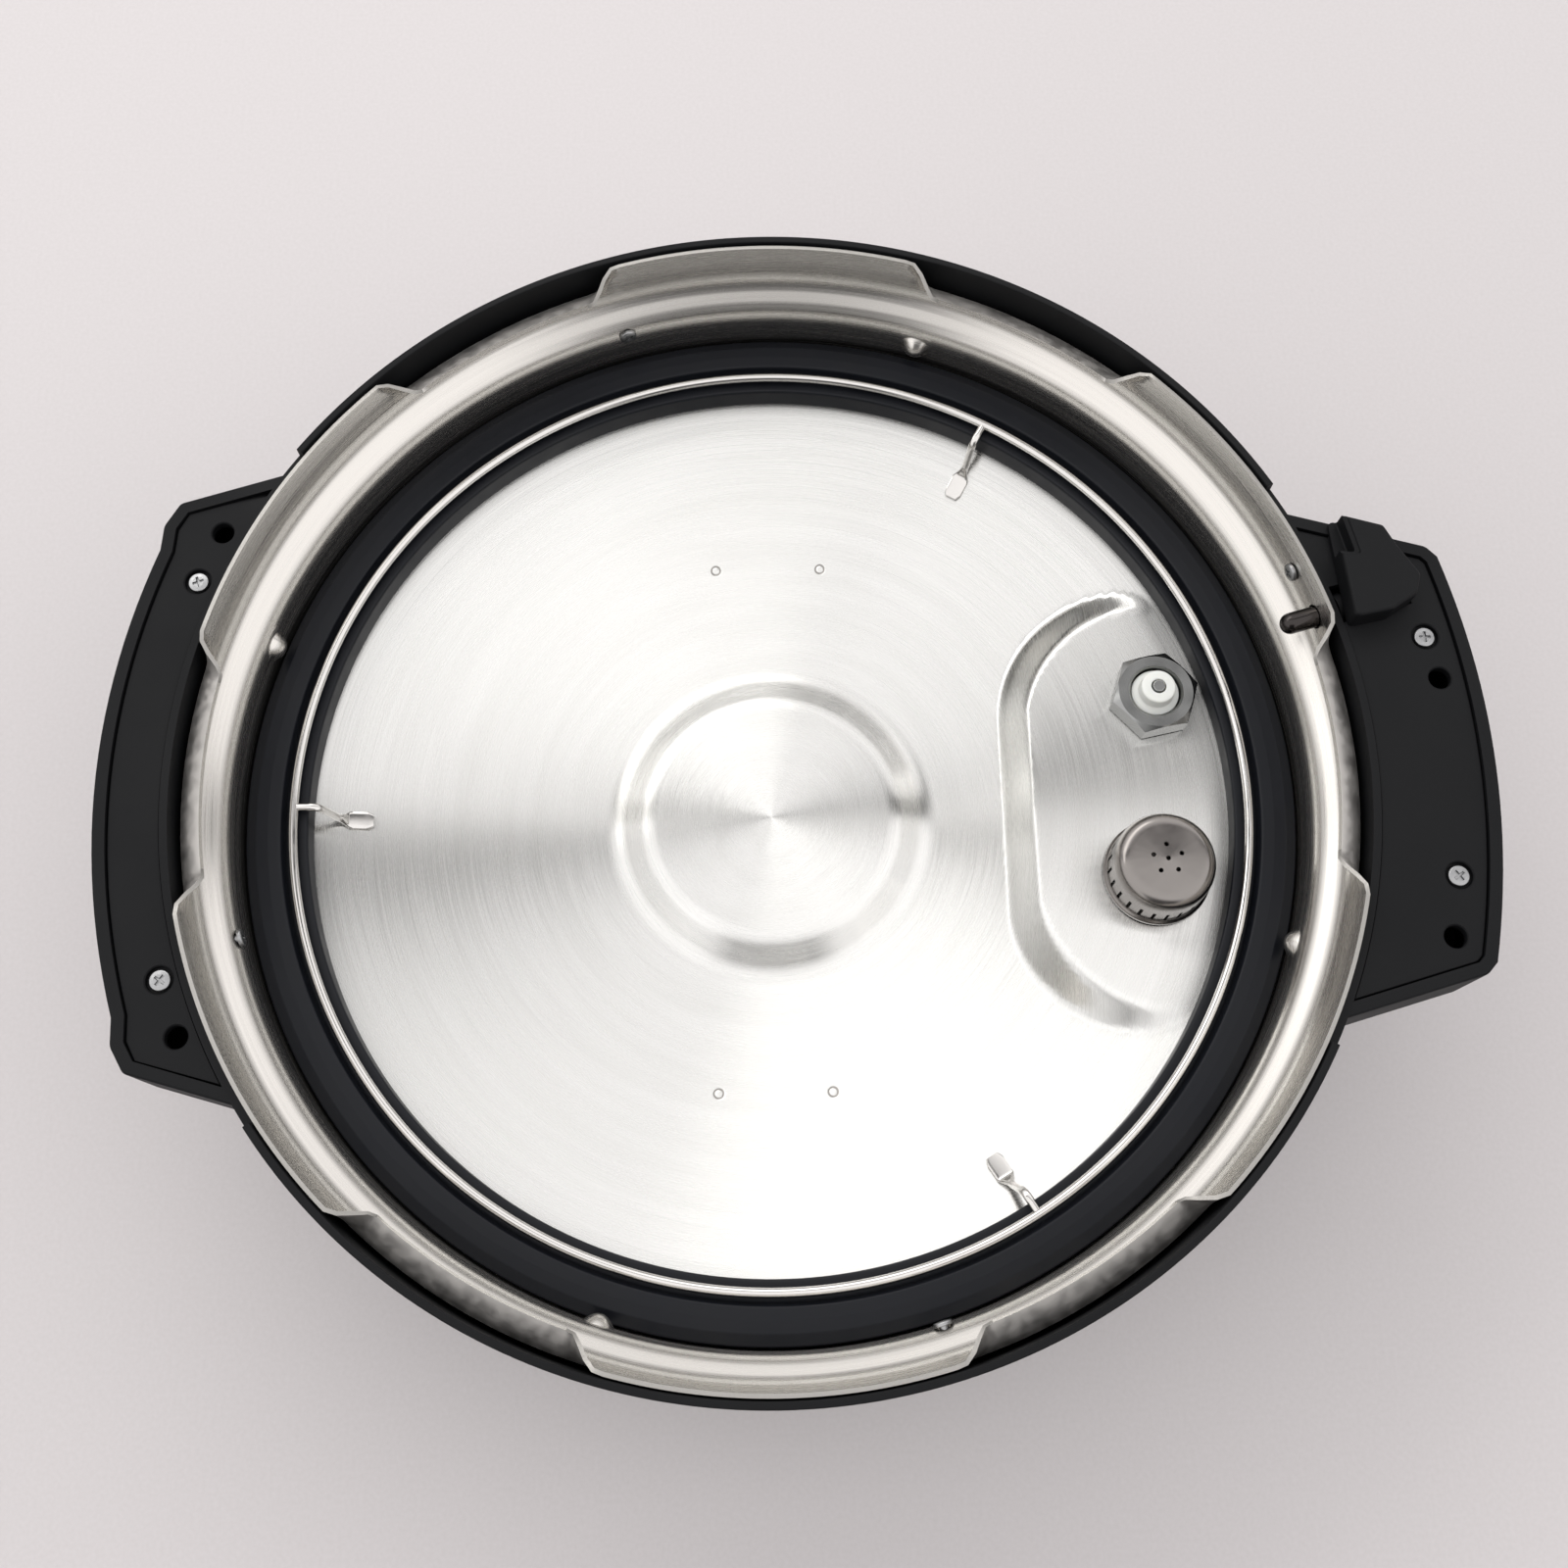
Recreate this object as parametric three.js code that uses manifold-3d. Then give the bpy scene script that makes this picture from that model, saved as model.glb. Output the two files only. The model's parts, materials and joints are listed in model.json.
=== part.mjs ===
// The lid of a large pressure cooker, lying upside down on its handle.
//
// Millimetres, +Z up. The origin is on the lid's axis, in the flat crown of the handle that it
// lies on. +X runs along the two wings towards the valves. Every piece is modelled with z measured
// from the cut edge of the steel skirt, and the whole lid then stands RIM_HEIGHT above the crown,
// so a z of -40 is 40 mm deep in the bowl.
import * as THREE from 'three';
import { mergeVertices } from 'three/addons/utils/BufferGeometryUtils.js';
import Module from 'manifold-3d';

const wasm = await Module();
wasm.setup();

// ---------------------------------------------------------------- driving dimensions

const RIM_HEIGHT = 104; // cut edge of the skirt above the crown of the handle
const CLEARANCE = 0.3; // between two pieces that touch

// Pressed steel sheet
const SHEET = 1;
const RIM_RADIUS = 142.5; // inner face of the skirt at its cut edge
const WALL_RADIUS = 134.4; // inner face of the wall beside the gasket
const CHANNEL_DEPTH = -42.2;
const DISH_EDGE_RADIUS = 120.8;
const DISH_EDGE_DEPTH = -39.4;
const DISH_SPHERE_RADIUS = 460;
const BOSS_FOOT_RADIUS = 41.5;
const BOSS_TOP_RADIUS = 33;
const BOSS_DEPTH = -48;

// Locking teeth, pressed inward from the skirt
const TOOTH_COUNT = 6;
const TOOTH_HALF_ANGLE = 10.4; // degrees, the part that is fully pressed
const TOOTH_RAMP_ANGLE = 4; // degrees
const TOOTH_ROOT_DEPTH = -11;
const TOOTH_INSET = 6;
const TOOTH_DROP = 3.7;

// Raised platform that carries the two valves
const PLATFORM_DEPTH = -39.8;
const PLATFORM_SLOPE = 5.8; // how far its foot stands out from its edge
const PLATFORM_OUTER_RADIUS = 119.4;
const PLATFORM_CORE_HEIGHT = 20; // of the straight part under the slope
const PLATFORM_SLOPE_HEIGHT = 12; // the slope runs on below the dish

// Dents in the skirt that keep the gasket down
const DIMPLE_ANGLES = [72, 162, 252, 342];
const DIMPLE_DEPTH = -24.8;
const DIMPLE_TIP_RADIUS = 1.9;
const DIMPLE_FOOT_RADIUS = 3.2;
const DIMPLE_HEIGHT = 3.6;

// Valves
const FLOAT_X = 101.5;
const FLOAT_Y = 28.3;
const STEAM_X = 98.7;
const STEAM_Y = -19.5;
const FLOAT_BORE = 6.8; // radius of the hole in the sheet
const STEAM_BORE = 4.9;
const WASHER_THICKNESS = 0.9;
const FLANGE_TOP = PLATFORM_DEPTH - SHEET - 2 * CLEARANCE - WASHER_THICKNESS;

// Gasket and its wire rack
const RACK_RADIUS = 121.4;
const RACK_DEPTH = -29;
const RACK_WIRE = 1.2; // radius of the wire
const PAD_THICKNESS = 1.3;
const RACK_LEG_ANGLES = [60.5, 180.5, 300.5];

// Plastic cover
const RING_INNER_RADIUS = 144;
const RING_OUTER_RADIUS = 145.9;
const RING_TOP = 0.8;
const COVER_WALL = 2.4;
const COVER_PLATEAU = -66;
const WING_TOP = -2.7;
const WING_BOTTOM = -26;
const WING_WALL = 3.2;
const PLATE_TOP = -3.4;
const PLATE_THICKNESS = 2.4;
const PLATE_INNER_RADIUS = 146.3;
const WING_HOLE_RADIUS = 2.75;

// Handle, a bridge along Y
const HANDLE_WIDTH = 38;
const HANDLE_CROWN = -RIM_HEIGHT;
const HANDLE_THICKNESS = 15;
const HANDLE_FOOT = COVER_PLATEAU - CLEARANCE;
const BRACKET_Y = 72.5;

// Spring pin through the skirt
const PIN_ANGLE = 15.5; // degrees
const PIN_DEPTH = -8;
const PIN_RADIUS = 2.5;
const PIN_TIP = 132.8;
const PIN_END = 159;

const LEFT_SCREWS = [[-141.9, 50.3], [-141.9, -50.3]];
const RIGHT_SCREWS = [[161.8, 30.2], [161.8, -30.6]];
const LEFT_HOLES = [[-136.8, 63.6], [-136.8, -63.6]];
const RIGHT_HOLES = [[164, 19.2], [158.9, -45.3]];
const SKIRT_SCREWS = [
  { angle: 20.8, depth: -8, face: 141.4, post: 145, end: 149 },
  { angle: 106, depth: -19.5, face: 134.3, post: 139.2, end: 142 },
  { angle: 196, depth: -19.5, face: 134.3, post: 139.2, end: 142 },
  { angle: 286, depth: -19.5, face: 134.3, post: 139.2, end: 142 },
];

const LATHE_STEPS = 60;
const SHEET_STEPS = 72; // 12 to each tooth pitch, so that every tooth is alike
const PROBE = 200; // longer than any piece is thick

// ---------------------------------------------------------------- materials

function finish(color, roughness, metalness) {
  return new THREE.MeshStandardMaterial({ color, roughness, metalness });
}

const brushedSteel = () => finish(0xc9c8c4, 0.32, 1);
const polishedSteel = () => finish(0xd4d3d0, 0.14, 1);
const zincSteel = () => finish(0xb9bab8, 0.35, 1);
const blackPlastic = () => finish(0x1e1f22, 0.6, 0);
const blackSilicone = () => finish(0x12151c, 0.42, 0);
const clearSilicone = () => finish(0xe4e5e2, 0.45, 0);

// ---------------------------------------------------------------- solids

const radians = (degrees) => THREE.MathUtils.degToRad(degrees);

// A closed three.js geometry as a solid, its faces turned outward.
function solid(geometry) {
  const bare = geometry.clone();
  bare.deleteAttribute('normal');
  bare.deleteAttribute('uv');
  const welded = mergeVertices(bare, 1e-4);
  const position = welded.attributes.position;
  const corners = welded.index.array;
  const triangles = [];
  let volume = 0;
  const [a, b, c] = [new THREE.Vector3(), new THREE.Vector3(), new THREE.Vector3()];
  for (let i = 0; i < corners.length; i += 3) {
    const [u, v, w] = [corners[i], corners[i + 1], corners[i + 2]];
    if (u === v || v === w || w === u) continue;
    triangles.push([u, v, w]);
    a.fromBufferAttribute(position, u);
    b.fromBufferAttribute(position, v);
    c.fromBufferAttribute(position, w);
    volume += a.dot(b.cross(c));
  }
  const outward = volume < 0 ? triangles.map(([u, v, w]) => [u, w, v]) : triangles;
  return new wasm.Manifold(new wasm.Mesh({
    numProp: 3,
    vertProperties: Float32Array.from(position.array),
    triVerts: Uint32Array.from(outward.flat()),
  }));
}

function geometryOf(shape) {
  const { vertProperties, triVerts } = shape.getMesh();
  const geometry = new THREE.BufferGeometry();
  geometry.setAttribute('position', new THREE.BufferAttribute(vertProperties, 3));
  geometry.setIndex(new THREE.BufferAttribute(triVerts, 1));
  geometry.computeVertexNormals();
  return geometry;
}

// A profile of [radius, z] points turned about +Z.
function turned(profile, steps = LATHE_STEPS) {
  const points = profile.map(([radius, z]) => new THREE.Vector2(radius, z));
  return new THREE.LatheGeometry(points, steps).rotateX(Math.PI / 2);
}

// A closed loop of [radius, z] points turned about +Z.
function turnedLoop(profile, steps = LATHE_STEPS) {
  return turned([...profile, profile[0]], steps);
}

function disc(radius, bottom, top, sides = 24) {
  const height = top - bottom;
  return new THREE.CylinderGeometry(radius, radius, height, sides)
    .rotateX(Math.PI / 2)
    .translate(0, 0, (top + bottom) / 2);
}

function block(x0, x1, y0, y1, z0, z1) {
  return new THREE.BoxGeometry(x1 - x0, y1 - y0, z1 - z0)
    .translate((x0 + x1) / 2, (y0 + y1) / 2, (z0 + z1) / 2);
}

function slab(points, bottom, top) {
  const shape = new THREE.Shape(points.map(([x, y]) => new THREE.Vector2(x, y)));
  const depth = top - bottom;
  return new THREE.ExtrudeGeometry(shape, { depth, bevelEnabled: false }).translate(0, 0, bottom);
}

// Turns a geometry that lies along +Z so that it lies along the radius at an angle.
function alongRadius(geometry, angle, depth) {
  return geometry.rotateY(Math.PI / 2).translate(0, 0, depth).rotateZ(radians(angle));
}

// Moves a closed outline inward by a distance, corner by corner.
function inset(points, distance) {
  const count = points.length;
  let area = 0;
  for (let i = 0; i < count; i += 1) {
    const [x0, y0] = points[i];
    const [x1, y1] = points[(i + 1) % count];
    area += x0 * y1 - x1 * y0;
  }
  const side = Math.sign(area) * distance;
  return points.map((point, i) => {
    const before = points[(i + count - 1) % count];
    const after = points[(i + 1) % count];
    return cornerMovedInward(before, point, after, side);
  });
}

function cornerMovedInward(before, point, after, side) {
  const into = new THREE.Vector2(point[0] - before[0], point[1] - before[1]).normalize();
  const away = new THREE.Vector2(after[0] - point[0], after[1] - point[1]).normalize();
  const normal = new THREE.Vector2(-into.y - away.y, into.x + away.x).normalize();
  const reach = side / (-into.y * normal.x + into.x * normal.y);
  return [point[0] + normal.x * reach, point[1] + normal.y * reach];
}

// ---------------------------------------------------------------- the lid group

const lid = new THREE.Group();
lid.position.z = RIM_HEIGHT;

function add(name, shape, material, parent = lid) {
  const geometry = shape.isBufferGeometry ? geometryOf(solid(shape)) : geometryOf(shape);
  const mesh = new THREE.Mesh(geometry, material);
  mesh.name = name;
  parent.add(mesh);
  return mesh;
}

function groupAt(x, y) {
  const group = new THREE.Group();
  group.position.set(x, y, 0);
  lid.add(group);
  return group;
}

// ---------------------------------------------------------------- steel sheet

// Depth of the dish's inner face at a distance from the axis.
function dishDepth(radius) {
  const fall = (DISH_EDGE_RADIUS ** 2 - radius ** 2) / (2 * DISH_SPHERE_RADIUS);
  return DISH_EDGE_DEPTH - fall;
}

// Inner face of the sheet, from the axis out over the dish and the channel and up the skirt.
function innerFace() {
  return [
    [0, BOSS_DEPTH],
    [BOSS_TOP_RADIUS, BOSS_DEPTH],
    [BOSS_FOOT_RADIUS, dishDepth(BOSS_FOOT_RADIUS)],
    [72, dishDepth(72)],
    [100, dishDepth(100)],
    [DISH_EDGE_RADIUS, DISH_EDGE_DEPTH],
    [124, CHANNEL_DEPTH],
    [131.8, CHANNEL_DEPTH],
    [WALL_RADIUS - 0.4, -39.6],
    [WALL_RADIUS, -21],
    [138.4, -15.4],
    [141.5, TOOTH_ROOT_DEPTH],
    [142.1, -5],
    [RIM_RADIUS, 0],
  ];
}

// The same line moved outward through the sheet's thickness.
function outerFace(line, thickness) {
  return line.map(([radius, z], i) => {
    const before = line[Math.max(i - 1, 0)];
    const after = line[Math.min(i + 1, line.length - 1)];
    const along = new THREE.Vector2(after[0] - before[0], after[1] - before[1]).normalize();
    const onAxis = radius === 0;
    return onAxis
      ? [0, z - thickness]
      : [radius + along.y * thickness, z - along.x * thickness];
  });
}

// 1 in the pressed part of a tooth, 0 between the teeth.
function toothPress(angle) {
  const pitch = 360 / TOOTH_COUNT;
  const offset = Math.abs(((angle % pitch) + pitch * 1.5) % pitch - pitch / 2);
  return 1 - THREE.MathUtils.smoothstep(offset, TOOTH_HALF_ANGLE, TOOTH_HALF_ANGLE + TOOTH_RAMP_ANGLE);
}

// Bends the band above the shoulder inward at each tooth.
function pressTeeth(geometry) {
  const position = geometry.attributes.position;
  for (let i = 0; i < position.count; i += 1) {
    const [x, y, z] = [position.getX(i), position.getY(i), position.getZ(i)];
    if (z <= TOOTH_ROOT_DEPTH) continue;
    const lean = (z - TOOTH_ROOT_DEPTH) / -TOOTH_ROOT_DEPTH;
    const press = lean * toothPress(THREE.MathUtils.radToDeg(Math.atan2(y, x)));
    const scale = 1 - (TOOTH_INSET * press) / Math.hypot(x, y);
    position.setXYZ(i, x * scale, y * scale, z - TOOTH_DROP * press);
  }
  return geometry;
}

// Edge of the valve platform: a D whose round side lies along the rim of the dish.
function platformEdge() {
  const corner = new THREE.Shape();
  corner.moveTo(135, -60);
  corner.lineTo(96, -54);
  corner.quadraticCurveTo(70.5, -50, 68, -18);
  corner.lineTo(68, 18);
  corner.quadraticCurveTo(70.5, 50, 96, 54);
  corner.lineTo(135, 60);
  return corner;
}

// The solid under the platform's skin, its sides sloping out to the dish.
function platformCore(skin) {
  const core = new THREE.ExtrudeGeometry(platformEdge(), {
    depth: PLATFORM_CORE_HEIGHT,
    curveSegments: 6,
    bevelEnabled: true,
    bevelSize: PLATFORM_SLOPE,
    bevelThickness: PLATFORM_SLOPE_HEIGHT,
    bevelOffset: -skin,
    bevelSegments: 2,
  });
  core.translate(0, 0, PLATFORM_DEPTH - skin - PLATFORM_SLOPE_HEIGHT - PLATFORM_CORE_HEIGHT);
  return solid(core).intersect(solid(disc(PLATFORM_OUTER_RADIUS - skin, -90, 0, LATHE_STEPS)));
}

function innerLid() {
  const inner = innerFace();
  const outer = outerFace(inner, SHEET).reverse();
  let sheet = solid(pressTeeth(turned([...inner, ...outer], SHEET_STEPS)));
  const dish = inner.filter(([radius]) => radius <= DISH_EDGE_RADIUS);
  const underDish = dish.map(([radius, z]) => [radius, z - SHEET]);
  const aboveDish = solid(turned([...underDish, [DISH_EDGE_RADIUS, 0], [0, 0]]));
  const skinCore = platformCore(SHEET);
  const platform = platformCore(0).subtract(skinCore).intersect(aboveDish);
  sheet = sheet.subtract(skinCore).add(platform);
  for (const angle of DIMPLE_ANGLES) {
    const dimple = new THREE.CylinderGeometry(DIMPLE_TIP_RADIUS, DIMPLE_FOOT_RADIUS, DIMPLE_HEIGHT, 10);
    dimple.rotateX(-Math.PI / 2).translate(0, 0, SHEET + 0.4 - WALL_RADIUS);
    sheet = sheet.add(solid(alongRadius(dimple, angle + 180, DIMPLE_DEPTH)));
  }
  for (const hole of sheetHoles()) sheet = sheet.subtract(solid(hole));
  return sheet;
}

function sheetHoles() {
  const floatHole = disc(FLOAT_BORE, -60, -30).translate(FLOAT_X, FLOAT_Y, 0);
  const steamHole = disc(STEAM_BORE, -60, -30).translate(STEAM_X, STEAM_Y, 0);
  const pinHole = alongRadius(disc(PIN_RADIUS + 0.6, 130, 150, 16), PIN_ANGLE, PIN_DEPTH);
  const screwHoles = SKIRT_SCREWS.map(({ angle, depth, face }) =>
    alongRadius(disc(1.6, face - 1, face + 4, 10), angle, depth));
  return [floatHole, steamHole, pinHole, ...screwHoles];
}

// ---------------------------------------------------------------- gasket and rack

function sealingRing() {
  return turnedLoop([
    [118.2, -38.3],
    [120.9, -38.9],
    [124.5, -41.7],
    [131.4, -41.8],
    [133.5, -39.4],
    [133.6, -29.6],
    [124.6, -28],
    [123.2, -31.6],
    [118, -32.2],
  ]);
}

function rackRing() {
  return new THREE.TorusGeometry(RACK_RADIUS, RACK_WIRE, 5, LATHE_STEPS).translate(0, 0, RACK_DEPTH);
}

// A wire leg along +X: level from the ring, then down to a flattened pad on the dish.
function rackLeg(angle) {
  const start = RACK_RADIUS - RACK_WIRE - CLEARANCE;
  const padDepth = (radius) => dishDepth(radius) + PAD_THICKNESS / 2 + CLEARANCE;
  const path = new THREE.CatmullRomCurve3([
    new THREE.Vector3(start, 0, RACK_DEPTH),
    new THREE.Vector3(start - 4.5, 0, RACK_DEPTH - 0.4),
    new THREE.Vector3(113.4, 0, padDepth(113.4) + 2.2),
    new THREE.Vector3(110.6, 0, padDepth(110.6) + 0.4),
  ], false, 'centripetal');
  const section = new THREE.Shape().absarc(0, 0, 1, 0, 2 * Math.PI);
  const wire = new THREE.ExtrudeGeometry(section, { steps: 7, curveSegments: 3, extrudePath: path });
  const [near, far] = [104, 111.5];
  const middle = (near + far) / 2;
  const half = (far - near) / 2;
  const pad = block(-half, half, -2.1, 2.1, -PAD_THICKNESS / 2, PAD_THICKNESS / 2);
  const tilt = Math.atan2(padDepth(far) - padDepth(near), far - near);
  pad.rotateY(-tilt).translate(middle, 0, padDepth(middle));
  return solid(wire.rotateZ(radians(angle))).add(solid(pad.rotateZ(radians(angle))));
}

// ---------------------------------------------------------------- float valve

function hexNut(acrossFlats, boreRadius, bottom, top) {
  const cornerRadius = acrossFlats / Math.sqrt(3);
  const faceRadius = acrossFlats / 2 - 0.5;
  const edge = 1.4;
  const chamfer = solid(turned([
    [0, bottom], [cornerRadius + 1, bottom], [cornerRadius + 1, top - edge], [faceRadius, top], [0, top],
  ], 24));
  return solid(disc(cornerRadius, bottom, top, 6))
    .intersect(chamfer)
    .subtract(solid(disc(boreRadius, bottom - 1, top + 1)));
}

function valveWasher(outerRadius, innerRadius) {
  const top = PLATFORM_DEPTH - SHEET - CLEARANCE;
  return turnedLoop([
    [innerRadius, top - WASHER_THICKNESS], [outerRadius, top - WASHER_THICKNESS],
    [outerRadius, top], [innerRadius, top],
  ], 24);
}

// Threaded bush with its flange outside the sheet and its seat inside the nut.
function floatBody() {
  return turnedLoop([
    [2.3, -50], [5.4, -50], [5.4, FLANGE_TOP - 2.4], [11, FLANGE_TOP - 2.4],
    [11, FLANGE_TOP], [6.4, FLANGE_TOP], [6.4, -36.4], [2.3, -36.4],
  ], 24);
}

function floatPin() {
  return turned([
    [0, -73], [3.4, -73], [4.2, -72], [4.2, -66.5], [1.65, -65.5], [1.65, -29.7], [1.1, -29.1], [0, -29.1],
  ], 16);
}

// Soft cap with a sealing flange, pushed over the end of the pin.
function floatCap() {
  return turnedLoop([
    [1.95, -36.1], [6.2, -36.1], [6.2, -34.6], [4.9, -33.9], [4.5, -30], [3.9, -29.3], [1.95, -29.3],
  ], 24);
}

// ---------------------------------------------------------------- steam release

function steamPipe() {
  return turnedLoop([
    [1.6, -76], [2.4, -76], [3.6, -72], [4.6, -69], [4.6, FLANGE_TOP - 2.4], [9, FLANGE_TOP - 2.4],
    [9, FLANGE_TOP], [4.6, FLANGE_TOP], [4.6, -33], [1.6, -33],
  ], 24);
}

// Strainer cap: a slotted skirt with a rolled rim under a domed top with a few round holes.
function antiBlockCap() {
  const foot = PLATFORM_DEPTH + CLEARANCE;
  let cap = solid(turnedLoop([
    [12.2, foot], [13.9, foot], [13.9, foot + 1.6], [12.9, foot + 1.9], [12.65, -27],
    [11.6, -25], [10, -24.4], [0.01, -24.4], [0.01, -25.3], [9.7, -25.3], [10.9, -25.8], [11.8, -27.4],
  ], 24));
  const slots = 24;
  for (let i = 0; i < slots; i += 1) {
    const slot = block(11, 15, -0.55, 0.55, foot + 2.4, foot + 6).rotateZ((i / slots) * 2 * Math.PI);
    cap = cap.subtract(solid(slot));
  }
  const holes = 5;
  for (let i = 0; i < holes; i += 1) {
    const hole = disc(0.55, -27, -23, 6).translate(3.6, 0, 0).rotateZ((i / holes) * 2 * Math.PI);
    cap = cap.subtract(solid(hole));
  }
  return cap.subtract(solid(disc(0.55, -27, -23, 6)));
}

// Steel weight whose cone sits on the tip of the pipe.
function pressureWeight() {
  return turnedLoop([
    [0.8, -90], [9.5, -90], [9.5, -64], [5.2, -64], [5.2, -74.5], [0.8, -78.6],
  ], 24);
}

// Plastic knob over the weight, with a finger bar across it.
function steamKnob() {
  const inner = 9.5 + CLEARANCE;
  const cup = solid(turnedLoop([
    [0.8, -90.3], [inner, -90.3], [inner, -68], [11.6, -68], [13.4, -92], [12.4, -94], [0.8, -94],
  ], 36));
  const bar = slab([[-17, -4.2], [19, -3], [19, 3], [-17, 4.2]], -100, -92.5);
  return cup.add(solid(bar)).subtract(solid(disc(0.8, -101, -88, 8)));
}

// ---------------------------------------------------------------- plastic cover

function outlineOf(shape, divisions) {
  return shape.getPoints(divisions).map((point) => [point.x, point.y]);
}

// Both wings reach in to the axis side of the ring, where the round cavity cuts them off.
function leftWing() {
  const shape = new THREE.Shape();
  shape.moveTo(-112, 82.5);
  shape.lineTo(-148, 71.8);
  shape.lineTo(-151.6, 65.6);
  shape.lineTo(-152, 59);
  shape.quadraticCurveTo(-171.6, 0, -152, -59);
  shape.lineTo(-151.6, -65.6);
  shape.lineTo(-148, -71.8);
  shape.lineTo(-112, -82.5);
  return outlineOf(shape, 12);
}

function rightWing() {
  const shape = new THREE.Shape();
  shape.moveTo(112, -69.5);
  shape.lineTo(165, -54.4);
  shape.lineTo(167.6, -51.6);
  shape.quadraticCurveTo(181, 0, 167.6, 51.6);
  shape.lineTo(165, 54.4);
  shape.lineTo(112, 69.5);
  return outlineOf(shape, 12);
}

function coverOutside() {
  return [
    [RING_OUTER_RADIUS, RING_TOP], [146.3, -27], [144.4, -36.5], [138.6, -46],
    [125, -55.5], [105, -62.6], [93, COVER_PLATEAU], [0, COVER_PLATEAU],
  ];
}

function coverInside() {
  return [
    [0, COVER_PLATEAU + COVER_WALL], [92.4, COVER_PLATEAU + COVER_WALL], [104.4, -60.2],
    [124, -53.3], [136.8, -44.4], [142.1, -35.6], [RING_INNER_RADIUS, -27], [RING_INNER_RADIUS, RING_TOP],
  ];
}

// A wing's walls and floor around its hollow, outside the ring's wall.
function wingShell(outline) {
  const outside = solid(slab(outline, WING_BOTTOM, WING_TOP));
  const hollow = solid(slab(inset(outline, WING_WALL), WING_BOTTOM + COVER_WALL, 0))
    .subtract(solid(disc(RING_OUTER_RADIUS, -60, 20, LATHE_STEPS)));
  const bowl = solid(disc(RING_INNER_RADIUS, -60, 20, LATHE_STEPS));
  return outside.subtract(hollow).subtract(bowl);
}

// The ring's wall is lower beside each wing.
function ringCutsAtWings() {
  const [leftEnd, rightEnd] = [35.5, 29];
  const reach = 160;
  return [[180, leftEnd], [0, rightEnd]].map(([middle, half]) => {
    const corner = (angle) => [reach * Math.cos(radians(angle)), reach * Math.sin(radians(angle))];
    const wedge = [[0, 0], corner(middle - half), corner(middle - half / 2), corner(middle),
      corner(middle + half / 2), corner(middle + half)];
    return slab(wedge, WING_TOP, 20);
  });
}

function screwPosts() {
  return [...LEFT_SCREWS, ...RIGHT_SCREWS].map(([x, y]) =>
    disc(3.2, WING_BOTTOM + 1, PLATE_TOP - PLATE_THICKNESS - CLEARANCE, 16).translate(x, y, 0));
}

function skirtScrewPosts() {
  return SKIRT_SCREWS.map(({ angle, depth, post, end }) =>
    alongRadius(disc(2, post, end + 2.5, 10), angle, depth));
}

function topCover() {
  let cover = solid(turned([...coverInside(), ...coverOutside()]));
  cover = cover.add(wingShell(leftWing())).add(wingShell(rightWing()));
  for (const cut of ringCutsAtWings()) cover = cover.subtract(solid(cut));
  for (const post of screwPosts()) cover = cover.add(solid(post));
  for (const post of skirtScrewPosts()) cover = cover.add(solid(post));
  const floatHole = disc(6.5, -PROBE, -50).translate(FLOAT_X, FLOAT_Y, 0);
  const steamWell = disc(11.2, -PROBE, -50).translate(STEAM_X, STEAM_Y, 0);
  const pinHole = alongRadius(disc(PIN_RADIUS + 0.6, 142, 147.5, 16), PIN_ANGLE, PIN_DEPTH);
  const bores = [floatHole, steamWell, pinHole];
  for (const [x, y] of [...LEFT_SCREWS, ...RIGHT_SCREWS]) {
    bores.push(disc(1.6, WING_BOTTOM + 6, 0, 10).translate(x, y, 0));
  }
  for (const { angle, depth, face, end } of SKIRT_SCREWS) {
    bores.push(alongRadius(disc(1.4, face, end + 0.5, 10), angle, depth));
  }
  for (const side of [-1, 1]) {
    bores.push(disc(2.1, -PROBE, -50, 12).translate(0, side * BRACKET_Y, 0));
  }
  for (const bore of bores) cover = cover.subtract(solid(bore));
  return cover;
}

// A closing plate set into a wing, its inner edge round the ring.
function wingPlate(outline, screws, holes) {
  const plate = slab(inset(outline, WING_WALL + CLEARANCE), PLATE_TOP - PLATE_THICKNESS, PLATE_TOP);
  let piece = solid(plate).subtract(solid(disc(PLATE_INNER_RADIUS, -60, 20, LATHE_STEPS)));
  for (const [x, y] of screws) {
    piece = piece.subtract(solid(disc(3.3, PLATE_TOP - 1.5, 0, 20).translate(x, y, 0)));
    piece = piece.subtract(solid(disc(1.7, -20, 0, 12).translate(x, y, 0)));
  }
  for (const [x, y] of holes) {
    piece = piece.subtract(solid(disc(WING_HOLE_RADIUS, -20, 0, 20).translate(x, y, 0)));
  }
  return piece;
}

// The right plate is open over the pin and its spring, where the latch block covers it.
function rightWingPlate() {
  const opening = block(140, 164.4, -5, 5, -20, 0).rotateZ(radians(PIN_ANGLE));
  return wingPlate(rightWing(), RIGHT_SCREWS, RIGHT_HOLES).subtract(solid(opening));
}

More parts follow.
